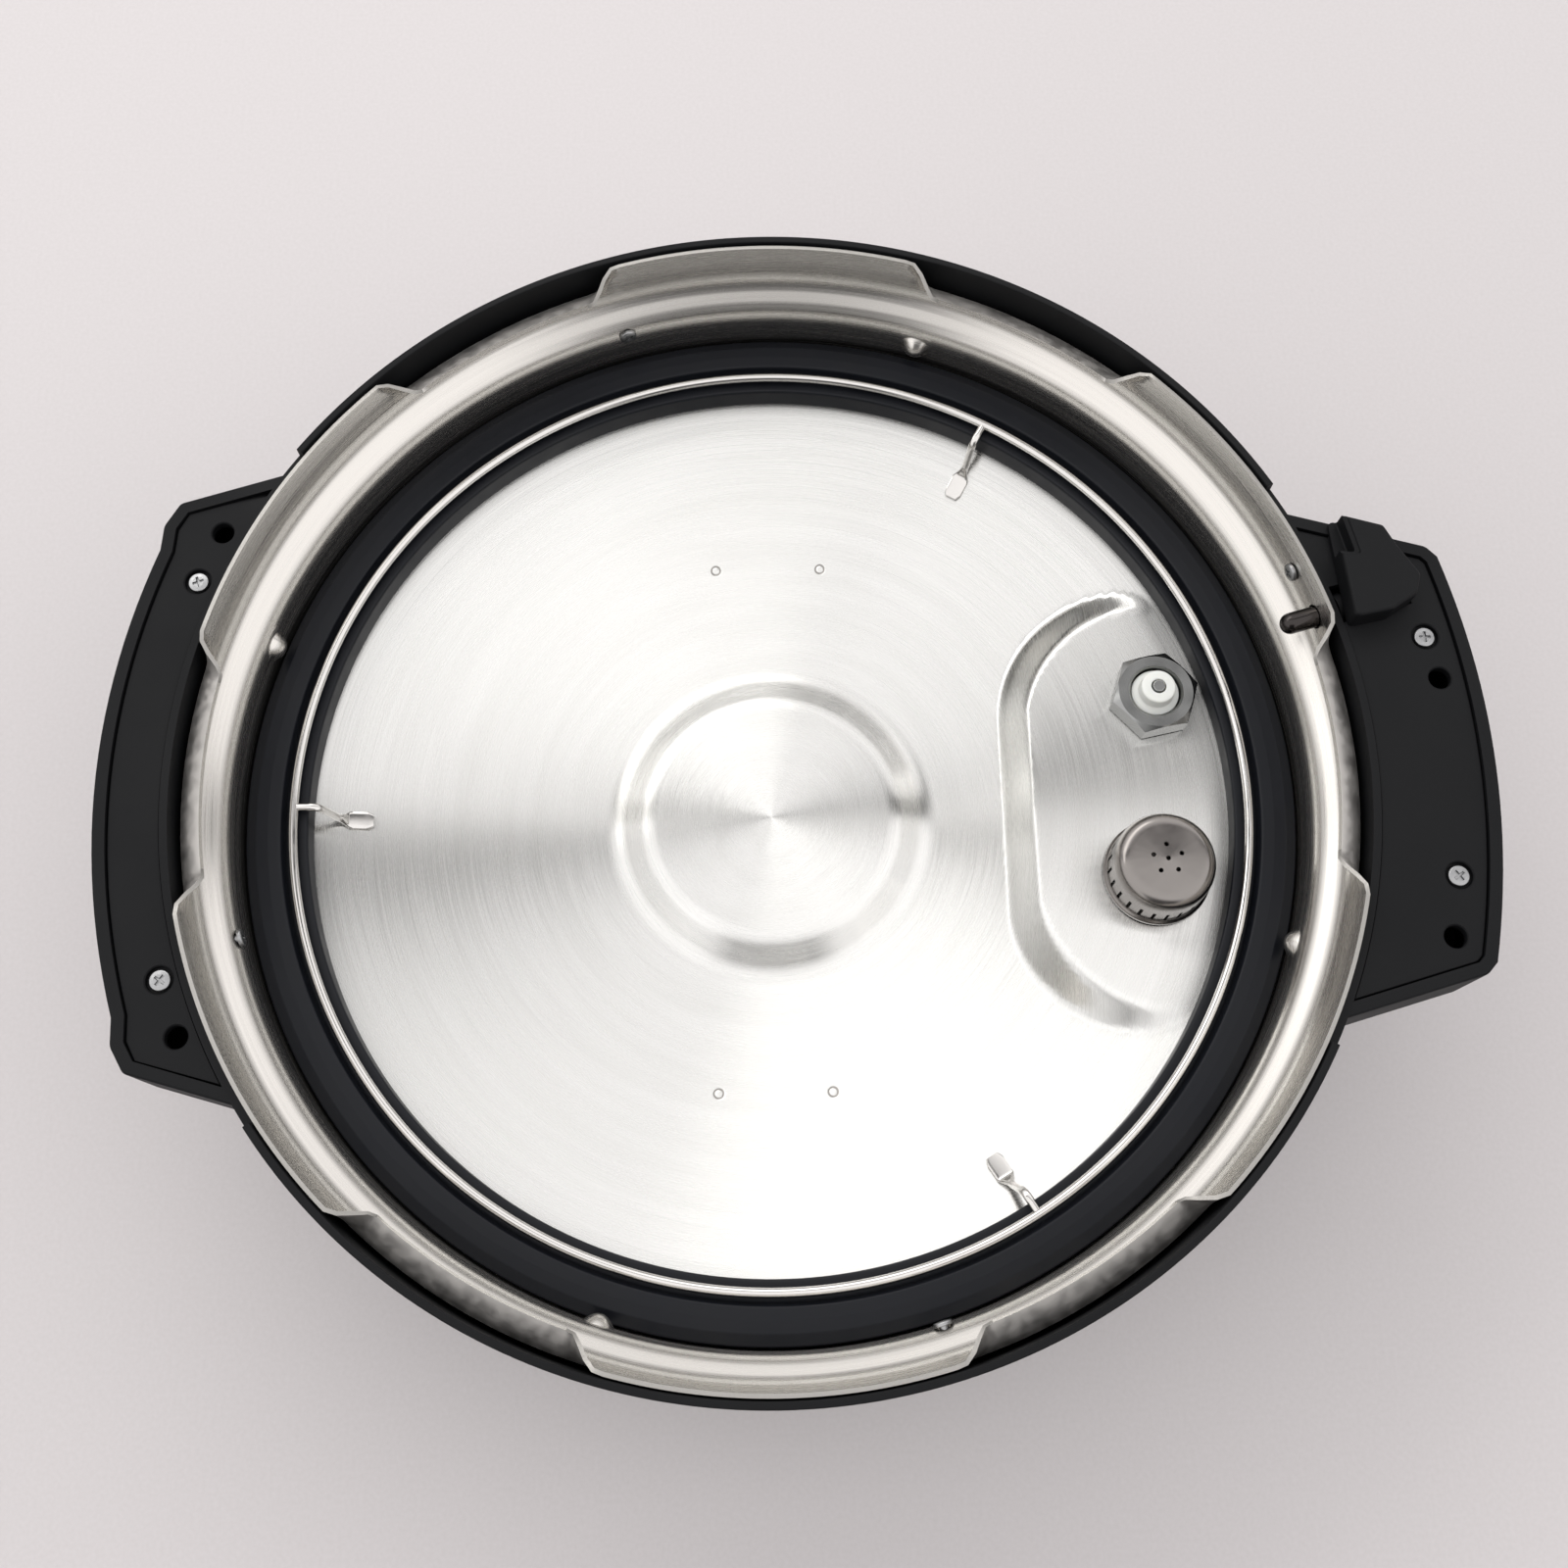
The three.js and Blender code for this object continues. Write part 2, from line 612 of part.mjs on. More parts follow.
// The raised block beside the pin, with its slot, and the guide under it that the pin runs in.
function latchBlock() {
  const outline = [[140.6, 61.2], [152.8, 57.6], [155.4, 52.4], [162.6, 43.6], [161.4, 38.6], [152.4, 34.8],
    [142.9, 32.9]];
  const bottom = PLATE_TOP + CLEARANCE;
  const withinRim = solid(slab(inset(rightWing(), WING_WALL + 2 * CLEARANCE), bottom, 0));
  const foot = solid(slab(outline, bottom, 0)).intersect(withinRim);
  const raised = solid(slab(outline, WING_TOP + CLEARANCE, 3.4));
  const guide = solid(block(157.8, 164, -4.6, 4.6, -13, bottom + 1).rotateZ(radians(PIN_ANGLE)));
  const slot = solid(slab([[137.6, 63], [142.6, 62], [145.2, 50.4], [140.9, 51]], -1.6, 10));
  const clear = solid(disc(PLATE_INNER_RADIUS + 0.4, -60, 20, LATHE_STEPS));
  const bore = solid(alongRadius(disc(PIN_RADIUS + 0.4, 150, 170, 16), PIN_ANGLE, PIN_DEPTH));
  return raised.add(foot).subtract(slot).add(guide).subtract(clear).subtract(bore);
}

// ---------------------------------------------------------------- spring pin

function lockPin() {
  const profile = [[0, PIN_TIP], [1.3, PIN_TIP + 0.35], [2.2, PIN_TIP + 1.2], [PIN_RADIUS, PIN_TIP + 2.5],
    [PIN_RADIUS, PIN_END - 0.6], [PIN_RADIUS - 0.6, PIN_END], [0, PIN_END]];
  return alongRadius(turned(profile, 20), PIN_ANGLE, PIN_DEPTH);
}

// Collar clipped round the pin: it stops the pin and pushes on the spring.
function pinCollar() {
  const bore = PIN_RADIUS + CLEARANCE;
  const collar = turnedLoop([[bore, 146.9], [4.2, 146.9], [4.2, 149.2], [bore, 149.2]], 16);
  return alongRadius(collar, PIN_ANGLE, PIN_DEPTH);
}

function pinSpring() {
  const [first, last] = [149.9, 157];
  const turns = 4;
  const radius = 3.5;
  class Helix extends THREE.Curve {
    getPoint(t) {
      const angle = t * turns * 2 * Math.PI;
      const along = first + t * (last - first);
      return new THREE.Vector3(radius * Math.cos(angle), radius * Math.sin(angle), along);
    }
  }
  const section = new THREE.Shape().absarc(0, 0, 0.35, 0, 2 * Math.PI);
  const coil = { steps: turns * 9, curveSegments: 2, extrudePath: new Helix() };
  return alongRadius(new THREE.ExtrudeGeometry(section, coil), PIN_ANGLE, PIN_DEPTH);
}

// ---------------------------------------------------------------- handle

// Side view of the bridge: [y, z] with its two feet on the cover.
function handleOutline() {
  const crown = HANDLE_CROWN;
  const fingers = HANDLE_CROWN + HANDLE_THICKNESS;
  const shape = new THREE.Shape();
  shape.moveTo(92, HANDLE_FOOT);
  shape.quadraticCurveTo(88, crown + 1, 58, crown);
  shape.lineTo(-58, crown);
  shape.quadraticCurveTo(-88, crown + 1, -92, HANDLE_FOOT);
  shape.lineTo(-60, HANDLE_FOOT);
  shape.quadraticCurveTo(-60, fingers, -42, fingers);
  shape.lineTo(42, fingers);
  shape.quadraticCurveTo(60, fingers, 60, HANDLE_FOOT);
  return shape;
}

function handleGrip() {
  const round = 3;
  const bar = new THREE.ExtrudeGeometry(handleOutline(), {
    depth: HANDLE_WIDTH - 2 * round,
    curveSegments: 8,
    bevelEnabled: true,
    bevelSize: round,
    bevelThickness: round,
    bevelOffset: -round,
    bevelSegments: 2,
  });
  bar.translate(0, 0, -(HANDLE_WIDTH - 2 * round) / 2).rotateX(Math.PI / 2).rotateZ(Math.PI / 2);
  const fingers = HANDLE_CROWN + HANDLE_THICKNESS;
  let grip = solid(bar).subtract(solid(block(-13, 13, -41, 41, fingers - 11, fingers + 2)));
  for (const side of [-1, 1]) {
    const headWell = disc(4.6, -PROBE, HANDLE_FOOT - 6, 20).translate(0, side * BRACKET_Y, 0);
    const shankHole = disc(2.1, -PROBE, 0, 12).translate(0, side * BRACKET_Y, 0);
    grip = grip.subtract(solid(headWell)).subtract(solid(shankHole));
  }
  return grip;
}

// Plate that closes the hollow of the grip on the finger side.
function handleLiner() {
  const top = HANDLE_CROWN + HANDLE_THICKNESS - CLEARANCE;
  return block(-13 + CLEARANCE, 13 - CLEARANCE, -41 + CLEARANCE, 41 - CLEARANCE, top - 2.4, top);
}

// Steel strap welded under the dish, with a threaded post for the handle screw.
function handleBracket(side) {
  const top = dishDepth(66) - SHEET - CLEARANCE;
  const y = side * BRACKET_Y;
  const strap = solid(block(-21, 21, y - 6, y + 6, top - 1.6, top));
  const post = solid(disc(4.5, -63, top - 1, 20).translate(0, y, 0));
  return strap.add(post).subtract(solid(disc(2.1, -70, top - 2.6, 12).translate(0, y, 0)));
}

// ---------------------------------------------------------------- screws

// A cross-head screw along +Z with the top of its head at z = 0.
function screw(headRadius, headHeight, shankRadius, length) {
  const body = solid(turned([
    [0, -length], [shankRadius, -length], [shankRadius, -headHeight], [headRadius, -headHeight],
    [headRadius, -0.4], [headRadius - 0.5, 0], [0, 0],
  ], 12));
  const blade = headRadius * 0.58;
  const depth = headHeight * 0.6;
  const width = headRadius * 0.14;
  return body
    .subtract(solid(block(-blade, blade, -width, width, -depth, 1)))
    .subtract(solid(block(-width, width, -blade, blade, -depth, 1)));
}

function wingScrews() {
  [...LEFT_SCREWS, ...RIGHT_SCREWS].forEach(([x, y], i) => {
    const mesh = add(`wing_screw_${i + 1}`, screw(2.55, 1, 1.3, 14), zincSteel());
    mesh.position.set(x, y, PLATE_TOP - 0.15);
    mesh.rotation.z = radians(20 + 35 * i);
  });
}

// The heads face the axis, so each screw is turned to point outward.
function skirtScrews() {
  SKIRT_SCREWS.forEach(({ angle, depth, face, end }, i) => {
    const arm = new THREE.Group();
    arm.rotation.z = radians(angle);
    lid.add(arm);
    const head = face - 1.4;
    const mesh = add(`skirt_screw_${i + 1}`, screw(2.3, 1.1, 1.1, end - head), zincSteel(), arm);
    mesh.position.set(head, 0, depth);
    mesh.rotation.y = -Math.PI / 2;
  });
}

function handleScrews() {
  [['handle_screw_front', -1], ['handle_screw_rear', 1]].forEach(([name, side]) => {
    const mesh = add(name, screw(4, 2, 1.8, 17), zincSteel());
    mesh.position.set(0, side * BRACKET_Y, HANDLE_FOOT - 8.3);
    mesh.rotation.x = Math.PI;
  });
}

// ---------------------------------------------------------------- assembly

add('inner_lid', innerLid(), brushedSteel());
add('sealing_ring', sealingRing(), blackSilicone());
add('rack_ring', rackRing(), polishedSteel());
RACK_LEG_ANGLES.forEach((angle, i) => add(`rack_leg_${i + 1}`, rackLeg(angle), polishedSteel()));

const floatValve = groupAt(FLOAT_X, FLOAT_Y);
const floatNut = hexNut(20.2, 6.7, PLATFORM_DEPTH + CLEARANCE, -33);
add('float_nut', floatNut, polishedSteel(), floatValve).rotation.z = radians(12);
add('float_body', floatBody(), polishedSteel(), floatValve);
add('float_washer', valveWasher(11, FLOAT_BORE), clearSilicone(), floatValve);
add('float_pin', floatPin(), polishedSteel(), floatValve);
add('float_cap', floatCap(), clearSilicone(), floatValve);

const steamRelease = groupAt(STEAM_X, STEAM_Y);
add('steam_pipe', steamPipe(), polishedSteel(), steamRelease);
add('steam_nut', hexNut(16, STEAM_BORE, PLATFORM_DEPTH + CLEARANCE, -35.4), polishedSteel(), steamRelease);
add('steam_washer', valveWasher(9, STEAM_BORE), clearSilicone(), steamRelease);
add('anti_block_cap', antiBlockCap(), polishedSteel(), steamRelease);
add('pressure_weight', pressureWeight(), zincSteel(), steamRelease);
add('steam_knob', steamKnob(), blackPlastic(), steamRelease);

add('top_cover', topCover(), blackPlastic());
add('left_wing_plate', wingPlate(leftWing(), LEFT_SCREWS, LEFT_HOLES), blackPlastic());
add('right_wing_plate', rightWingPlate(), blackPlastic());
add('latch_block', latchBlock(), blackPlastic());
add('lock_pin', lockPin(), polishedSteel());
add('pin_collar', pinCollar(), blackPlastic());
add('pin_spring', pinSpring(), polishedSteel());

add('handle_grip', handleGrip(), blackPlastic());
add('handle_liner', handleLiner(), blackPlastic());
add('handle_bracket_front', handleBracket(-1), brushedSteel());
add('handle_bracket_rear', handleBracket(1), brushedSteel());

wingScrews();
skirtScrews();
handleScrews();

const group = new THREE.Group();
group.add(lid);

export default group;
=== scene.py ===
import json
import math
from functools import cache

import bmesh
import bpy
import numpy as np
from mathutils import Matrix, Vector


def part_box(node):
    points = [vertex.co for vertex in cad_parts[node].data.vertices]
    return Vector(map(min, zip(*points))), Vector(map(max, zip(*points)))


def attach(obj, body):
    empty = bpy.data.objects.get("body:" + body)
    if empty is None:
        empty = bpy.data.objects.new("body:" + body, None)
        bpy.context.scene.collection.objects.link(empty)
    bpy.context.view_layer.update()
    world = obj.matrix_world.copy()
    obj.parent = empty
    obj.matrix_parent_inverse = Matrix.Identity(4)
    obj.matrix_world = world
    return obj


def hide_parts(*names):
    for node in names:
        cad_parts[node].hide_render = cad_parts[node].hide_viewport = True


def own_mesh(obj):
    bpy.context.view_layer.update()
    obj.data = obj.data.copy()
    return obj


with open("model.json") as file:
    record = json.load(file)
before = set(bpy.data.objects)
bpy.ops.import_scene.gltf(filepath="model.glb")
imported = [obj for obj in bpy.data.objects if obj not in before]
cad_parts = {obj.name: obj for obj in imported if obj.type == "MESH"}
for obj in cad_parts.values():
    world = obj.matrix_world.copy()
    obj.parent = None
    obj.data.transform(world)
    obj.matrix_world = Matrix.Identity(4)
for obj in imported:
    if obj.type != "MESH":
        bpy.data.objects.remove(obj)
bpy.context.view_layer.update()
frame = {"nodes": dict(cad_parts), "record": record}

# The lid of a large pressure cooker, lying upside down on its handle, with its inside up.
# Pieces are made in millimetres in the CAD frame, and finish_piece() turns them to metres.
# A depth is measured from the cut edge of the steel skirt: -40 is 40 mm deep in the bowl.

MM = 0.001
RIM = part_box("inner_lid")[1].z / MM
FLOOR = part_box("handle_grip")[0].z / MM

SHEET = 1.0
DISH_EDGE = (120.8, -39.4)
DISH_SPHERE = 460.0
BOSS_TOP = 33.0
BOSS_FOOT = 41.5
BOSS_DEPTH = -48.0
TEETH = 6
TOOTH_INSET = 6.0
TOOTH_DROP = 5.0
TOOTH_ROOT = -9.0
DIMPLE_ANGLES = (72, 162, 252, 342)
BRACKET_Y = 72.5
WELD_SPOT = (14.5, BRACKET_Y)
# Each skirt screw: its angle, its depth and the radius of the sheet's inner face there.
SKIRT_SCREWS = ((20.8, -8, 141.4), (106, -19.5, 134.3), (196, -19.5, 134.3), (286, -19.5, 134.3))
PIN_ANGLE = 15.5
PIN_NOSE = 132.8
PIN_END = 159
PIN_DEPTH = -8.0
RING_INNER = 144.0
RING_OUTER = 145.9
WING_TOP = -2.7
WING_BOTTOM = -26.0
PLATE_TOP = -3.4
HANDLE_FOOT = -66.3
HANDLE_CROWN = FLOOR - RIM
FINGER_SIDE = HANDLE_CROWN + 15
LEFT_SCREWS = ((-141.9, 50.3), (-141.9, -50.3))
RIGHT_SCREWS = ((161.8, 30.2), (161.8, -30.6))
LEFT_HOLES = ((-136.8, 63.6), (-136.8, -63.6))
RIGHT_HOLES = ((164, 19.2), (158.9, -45.3))


def centre_of(node):
    """Middle of a CAD node's plan, in millimetres."""
    low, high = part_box(node)
    return (low.x + high.x) / 2 / MM, (low.y + high.y) / 2 / MM


FLOAT = centre_of("float_pin")
STEAM = centre_of("anti_block_cap")


# ---------------------------------------------------------------- outlines and meshes


def place(x, y, depth):
    """A point of the CAD frame, from its plan and its depth."""
    return (x, y, RIM + depth)


def rounded(points, radii, steps=6):
    """A line through points, each inner corner drawn as a soft curve of about its radius."""
    line = [tuple(points[0])]
    for before, corner, after, radius in zip(points, points[1:], points[2:], radii):
        corner = Vector(corner)
        back = Vector(before) - corner
        ahead = Vector(after) - corner
        turn = back.angle(ahead)
        reach = min(radius / math.tan(turn / 2), back.length * 0.49, ahead.length * 0.49)
        start = corner + back.normalized() * reach
        end = corner + ahead.normalized() * reach
        for i in range(steps + 1):
            t = i / steps
            line.append(tuple(start * (1 - t) ** 2 + corner * 2 * t * (1 - t) + end * t * t))
    line.append(tuple(points[-1]))
    return line


def rounded_loop(points, radius, steps=6):
    """A closed outline with every corner rounded."""
    ring = [points[-1], *points, points[0]]
    return rounded(ring, [radius] * len(points), steps)[1:-1]


def spaced(line, gap):
    """The same line with extra points, so that none are further apart than gap."""
    out = [line[0]]
    for a, b in zip(line, line[1:]):
        count = max(1, math.ceil(math.dist(a, b) / gap))
        out += [tuple(np.array(a) + (np.array(b) - np.array(a)) * i / count) for i in range(1, count + 1)]
    return out


def mesh_object(name, vertices, faces, sharp=35):
    """A mesh object with its normals outward, smooth-shaded where it turns by less than sharp degrees."""
    mesh = bpy.data.meshes.new(name)
    mesh.from_pydata(vertices, [], faces)
    work = bmesh.new()
    work.from_mesh(mesh)
    bmesh.ops.remove_doubles(work, verts=work.verts, dist=1e-4)
    bmesh.ops.recalc_face_normals(work, faces=work.faces)
    work.to_mesh(mesh)
    work.free()
    obj = bpy.data.objects.new(name, mesh)
    bpy.context.scene.collection.objects.link(obj)
    return smooth(obj, sharp)


def smooth(obj, sharp=35):
    obj.data.polygons.foreach_set("use_smooth", [True] * len(obj.data.polygons))
    obj.data.set_sharp_from_angle(angle=math.radians(sharp))
    return obj


def settle(obj, sharp=35):
    """Turns the object's modifiers into plain mesh."""
    graph = bpy.context.evaluated_depsgraph_get()
    mesh = bpy.data.meshes.new_from_object(obj.evaluated_get(graph))
    obj.modifiers.clear()
    obj.data = mesh
    return smooth(obj, sharp)


def combine(obj, others, operation, sharp=35, flatten=True):
    """Cuts the others from the object, or joins them to it, and merges the slivers in its flat faces."""
    for other in others:
        step = obj.modifiers.new("combine", "BOOLEAN")
        step.operation = operation
        step.solver = "MANIFOLD"
        step.object = other
    settle(obj, sharp)
    for other in others:
        bpy.data.objects.remove(other)
    if flatten:
        work = bmesh.new()
        work.from_mesh(obj.data)
        bmesh.ops.dissolve_limit(work, angle_limit=math.radians(0.3), verts=work.verts, edges=work.edges)
        work.to_mesh(obj.data)
        work.free()
        smooth(obj, sharp)
    return obj


def grid_faces(rows, columns, closed_rows=False, closed_columns=True):
    """Quads of a grid whose vertex (row, column) is row * columns + column."""
    faces = []
    for row in range(rows if closed_rows else rows - 1):
        below = ((row + 1) % rows) * columns
        for column in range(columns if closed_columns else columns - 1):
            beside = (column + 1) % columns
            faces.append((row * columns + column, row * columns + beside, below + beside, below + column))
    return faces


def turned(name, profile, steps=180, loop=False, centre=(0, 0), sharp=35):
    """A profile of (radius, depth) points turned about a vertical line through centre."""
    angles = [2 * math.pi * i / steps for i in range(steps)]
    vertices = [
        place(centre[0] + radius * math.cos(a), centre[1] + radius * math.sin(a), depth)
        for radius, depth in profile
        for a in angles
    ]
    return mesh_object(name, vertices, grid_faces(len(profile), steps, closed_rows=loop), sharp)


def point_along_radius(obj, angle, depth, inward_from=None):
    """Turns a piece made along +Z to lie along a radius: outward, or inward with its zero at a radius."""
    about = Matrix.Translation((0, 0, RIM))
    start, tip = (0, 90) if inward_from is None else (inward_from, -90)
    lie = Matrix.Rotation(math.radians(angle), 4, "Z") @ Matrix.Translation((start, 0, depth))
    lie = lie @ Matrix.Rotation(math.radians(tip), 4, "Y")
    obj.data.transform(about @ lie @ about.inverted())
    return obj


def inset(outline, distance):
    """A closed outline moved inward by a distance, corner by corner."""
    points = np.array(outline, float)
    before = np.roll(points, 1, axis=0)
    after = np.roll(points, -1, axis=0)
    area = np.sum(before[:, 0] * points[:, 1] - points[:, 0] * before[:, 1])
    into = points - before
    into /= np.linalg.norm(into, axis=1)[:, None]
    away = after - points
    away /= np.linalg.norm(away, axis=1)[:, None]
    side = np.stack([-into[:, 1] - away[:, 1], into[:, 0] + away[:, 0]], axis=1)
    side /= np.linalg.norm(side, axis=1)[:, None]
    reach = distance / np.maximum(0.3, -into[:, 1] * side[:, 0] + into[:, 0] * side[:, 1])
    moved = points + side * (reach * math.copysign(1, area))[:, None]
    return unfold_corners(points, moved)


def unfold_corners(outline, moved):
    """Draws the points of a corner too tight for its inset together, where the runs beside it meet."""
    count = len(outline)
    steps = np.roll(outline, -1, axis=0) - outline
    runs = np.sum((np.roll(moved, -1, axis=0) - moved) * steps, axis=1) > 0
    for i in range(count):
        if not runs[i] and runs[i - 1]:
            end = i
            while not runs[end % count]:
                end += 1
            before, after = moved[(i - 1) % count], moved[(end + 1) % count]
            into, away = moved[i] - before, moved[end % count] - after
            turn = into[0] * away[1] - into[1] * away[0]
            gap = after - before
            along = (gap[0] * away[1] - gap[1] * away[0]) / turn if abs(turn) > 1e-9 else 1
            corner = before + into * along
            for k in range(i, end + 1):
                moved[k % count] = corner
    return moved


def moulded(name, outline, low, high, low_edge=0.0, high_edge=0.0, sharp=35):
    """An outline stood up from depth low to high, its two edges rounded."""
    rows = [(0, low)]
    top = [(0, high)]
    arc = [math.radians(a) for a in (0, 22.5, 45, 67.5, 90)]
    if low_edge:
        rows = [(low_edge * (1 - math.sin(a)), low + low_edge * (1 - math.cos(a))) for a in arc]
    if high_edge:
        top = [(high_edge * (1 - math.cos(a)), high - high_edge * (1 - math.sin(a))) for a in arc]
    vertices = []
    for distance, depth in rows + top:
        edge = inset(outline, distance) if distance else np.array(outline, float)
        vertices += [place(x, y, depth) for x, y in edge]
    count = len(outline)
    levels = len(rows) + len(top)
    faces = grid_faces(levels, count)
    faces.append(tuple(reversed(range(count))))
    faces.append(tuple(range((levels - 1) * count, levels * count)))
    return mesh_object(name, vertices, faces, sharp)


def circle(radius, centre, steps):
    """Points of a circle in the plane of an outline or a section."""
    return [(centre[0] + radius * math.cos(2 * math.pi * i / steps),
             centre[1] + radius * math.sin(2 * math.pi * i / steps)) for i in range(steps)]


def drum(radius, low, high, centre=(0, 0), steps=64):
    """A plain round cutter."""
    return moulded("cutter", circle(radius, centre, steps), low, high)


def chamfered_drum(radius, low, top, centre=(0, 0), chamfer=0.3):
    """A round cutter that also breaks the edge it makes at depth top."""
    wide = radius + chamfer + 0.5
    profile = [(0, low), (radius, low), (radius, top - chamfer), (wide, top + 0.5),
               (wide, top + 3), (0, top + 3)]
    return turned("cutter", profile, 48, centre=centre)


def box_outline(x0, x1, y0, y1):
    return [(x0, y0), (x1, y0), (x1, y1), (x0, y1)]


def along_heading(outline, angle):
    """An outline drawn with +X outward, turned to point along a heading."""
    c, s = math.cos(math.radians(angle)), math.sin(math.radians(angle))
    return [(x * c - y * s, x * s + y * c) for x, y in outline]


def stand_at(obj, x, y, depth, spin=0, upside_down=False):
    """Moves a piece made round the axis at depth 0."""
    about = Matrix.Translation((0, 0, RIM))
    put = Matrix.Translation((x, y, depth)) @ Matrix.Rotation(math.radians(spin), 4, "Z")
    if upside_down:
        put = put @ Matrix.Rotation(math.pi, 4, "X")
    obj.data.transform(about @ put @ about.inverted())
    return obj


def lay_across(obj):
    """Lays a piece on its side: its outline was drawn as (y, depth), and it runs along X."""
    about = Matrix.Translation((0, 0, RIM))
    lay = Matrix(((0, 0, 1, 0), (1, 0, 0, 0), (0, 1, 0, 0), (0, 0, 0, 1)))
    obj.data.transform(about @ lay @ about.inverted())
    return obj


# ---------------------------------------------------------------- pressed steel lid


def dish_depth(radius):
    """Depth of the shallow dish, a part of a sphere that ends at the gasket's channel."""
    return DISH_EDGE[1] - (DISH_EDGE[0] ** 2 - radius ** 2) / (2 * DISH_SPHERE)


def ease(t):
    """0 to 1 in a soft S, level at both ends."""
    t = np.clip(t, 0, 1)
    return t * t * (3 - 2 * t)


def slope(t, bend=0.3):
    """0 to 1 in a straight line, with a soft bend at each end."""
    t = np.clip(t, 0, 1)
    foot = t * t / (2 * bend)
    head = 1 - bend - (1 - t) ** 2 / (2 * bend)
    line = np.where(t < bend, foot, np.where(t > 1 - bend, head, t - bend / 2))
    return line / (1 - bend)


def lid_line():
    """Inner face of the sheet, from the middle of the boss out over the dish and up the skirt."""
    boss = rounded(
        [(0, BOSS_DEPTH), (BOSS_TOP, BOSS_DEPTH), (BOSS_FOOT, dish_depth(BOSS_FOOT)), (50, dish_depth(50))],
        [9, 9], 8)
    dish = [(r, dish_depth(r)) for r in np.linspace(52, DISH_EDGE[0] - 3, 46)]
    skirt = rounded(
        [(DISH_EDGE[0] - 2, dish_depth(DISH_EDGE[0] - 2)), DISH_EDGE, (124, -42.2), (134.2, -42.2),
         (134.4, -17.8), (141.6, -12.8), (142.1, -5), (142.5, 0)],
        [2, 2, 3, 9, 9, 10], 10)
    return spaced(boss + dish + skirt, 1.3)


def raise_platform(x, y, depth):
    """Lifts the dish to the flat platform under the valves, over a sloping side."""
    corner_x, corner_y, corner_radius = 96.0, 26.8, 34.0
    dx = np.minimum(x - corner_x, 0)
    dy = np.maximum(np.abs(y) - corner_y, 0)
    inside = corner_radius - np.hypot(dx, dy)
    around = np.arctan2(dy, np.maximum(-dx, 1e-9))
    side = 6.6 + 2.6 * np.sin(2 * np.clip(around, 0, math.pi / 2))
    level = -39.8
    return np.maximum(depth, depth + (level - depth) * slope(inside / side))


def press_teeth(radius, angle, depth):
    """Leans the band over the shoulder inward at each locking tooth."""
    pitch = 360 / TEETH
    offset = np.abs((angle + pitch / 2) % pitch - pitch / 2)
    press = 1 - ease((offset - 10.6) / 3.6)
    lean = np.clip((depth - TOOTH_ROOT) / -TOOTH_ROOT, 0, 1) ** 1.15
    return radius - TOOTH_INSET * press * lean, depth - TOOTH_DROP * press * lean


def pressed_lid():
    """The sheet: an open surface with its marks pressed in, thickened, edged and holed."""
    skirt_start, tooth_tops, gasket_edge = 133, RIM - 6.5, 122.5
    line = np.array(lid_line())
    line = line[line[:, 0] > 0.6]
    angles = np.arange(0, 360, 0.9)
    radius, angle = np.meshgrid(line[:, 0], angles, indexing="ij")
    depth = np.repeat(line[:, 1][:, None], len(angles), axis=1)
    skirt = radius > skirt_start
    leaned, lowered = press_teeth(radius, angle, depth)
    radius = np.where(skirt, leaned, radius)
    depth = np.where(skirt, lowered, depth)
    x = radius * np.cos(np.radians(angle))
    y = radius * np.sin(np.radians(angle))
    on_dish = line[:, 0][:, None] < DISH_EDGE[0] - 0.5
    depth = np.where(on_dish, raise_platform(x, y, depth), depth)
    rows, columns = radius.shape
    vertices = [place(*p) for p in zip(x.ravel(), y.ravel(), depth.ravel())]
    middle = len(vertices)
    vertices.append(place(0, 0, BOSS_DEPTH))
    faces = grid_faces(rows, columns)
    faces += [(middle, (c + 1) % columns, c) for c in range(columns)]
    lid = mesh_object("pressed_lid", vertices, faces)
    press_marks(lid)
    wall = lid.modifiers.new("sheet", "SOLIDIFY")
    wall.thickness = SHEET
    wall.offset = -1
    edge = lid.modifiers.new("cut_edge", "BEVEL")
    edge.width = 0.3
    edge.segments = 2
    edge.angle_limit = math.radians(70)
    settle(lid, 40)
    combine(lid, sheet_holes(), "DIFFERENCE", 40, flatten=False)
    paint(lid, brushed_stainless(), drawn_stainless(), sheared_edge(), mill_finish())
    skirt_side, tooth_top, outside = 1, 2, 3
    for face in lid.data.polygons:
        outward = face.normal.xy.dot(face.center.xy.normalized())
        if face.center.z > tooth_tops and face.normal.z > 0.5 and outward < 0.3:
            face.material_index = tooth_top
        elif face.center.xy.length > gasket_edge:
            face.material_index = outside if outward > 0.3 or face.normal.z < -0.3 else skirt_side
    finish_piece(lid, "lid", ["inner_lid"])


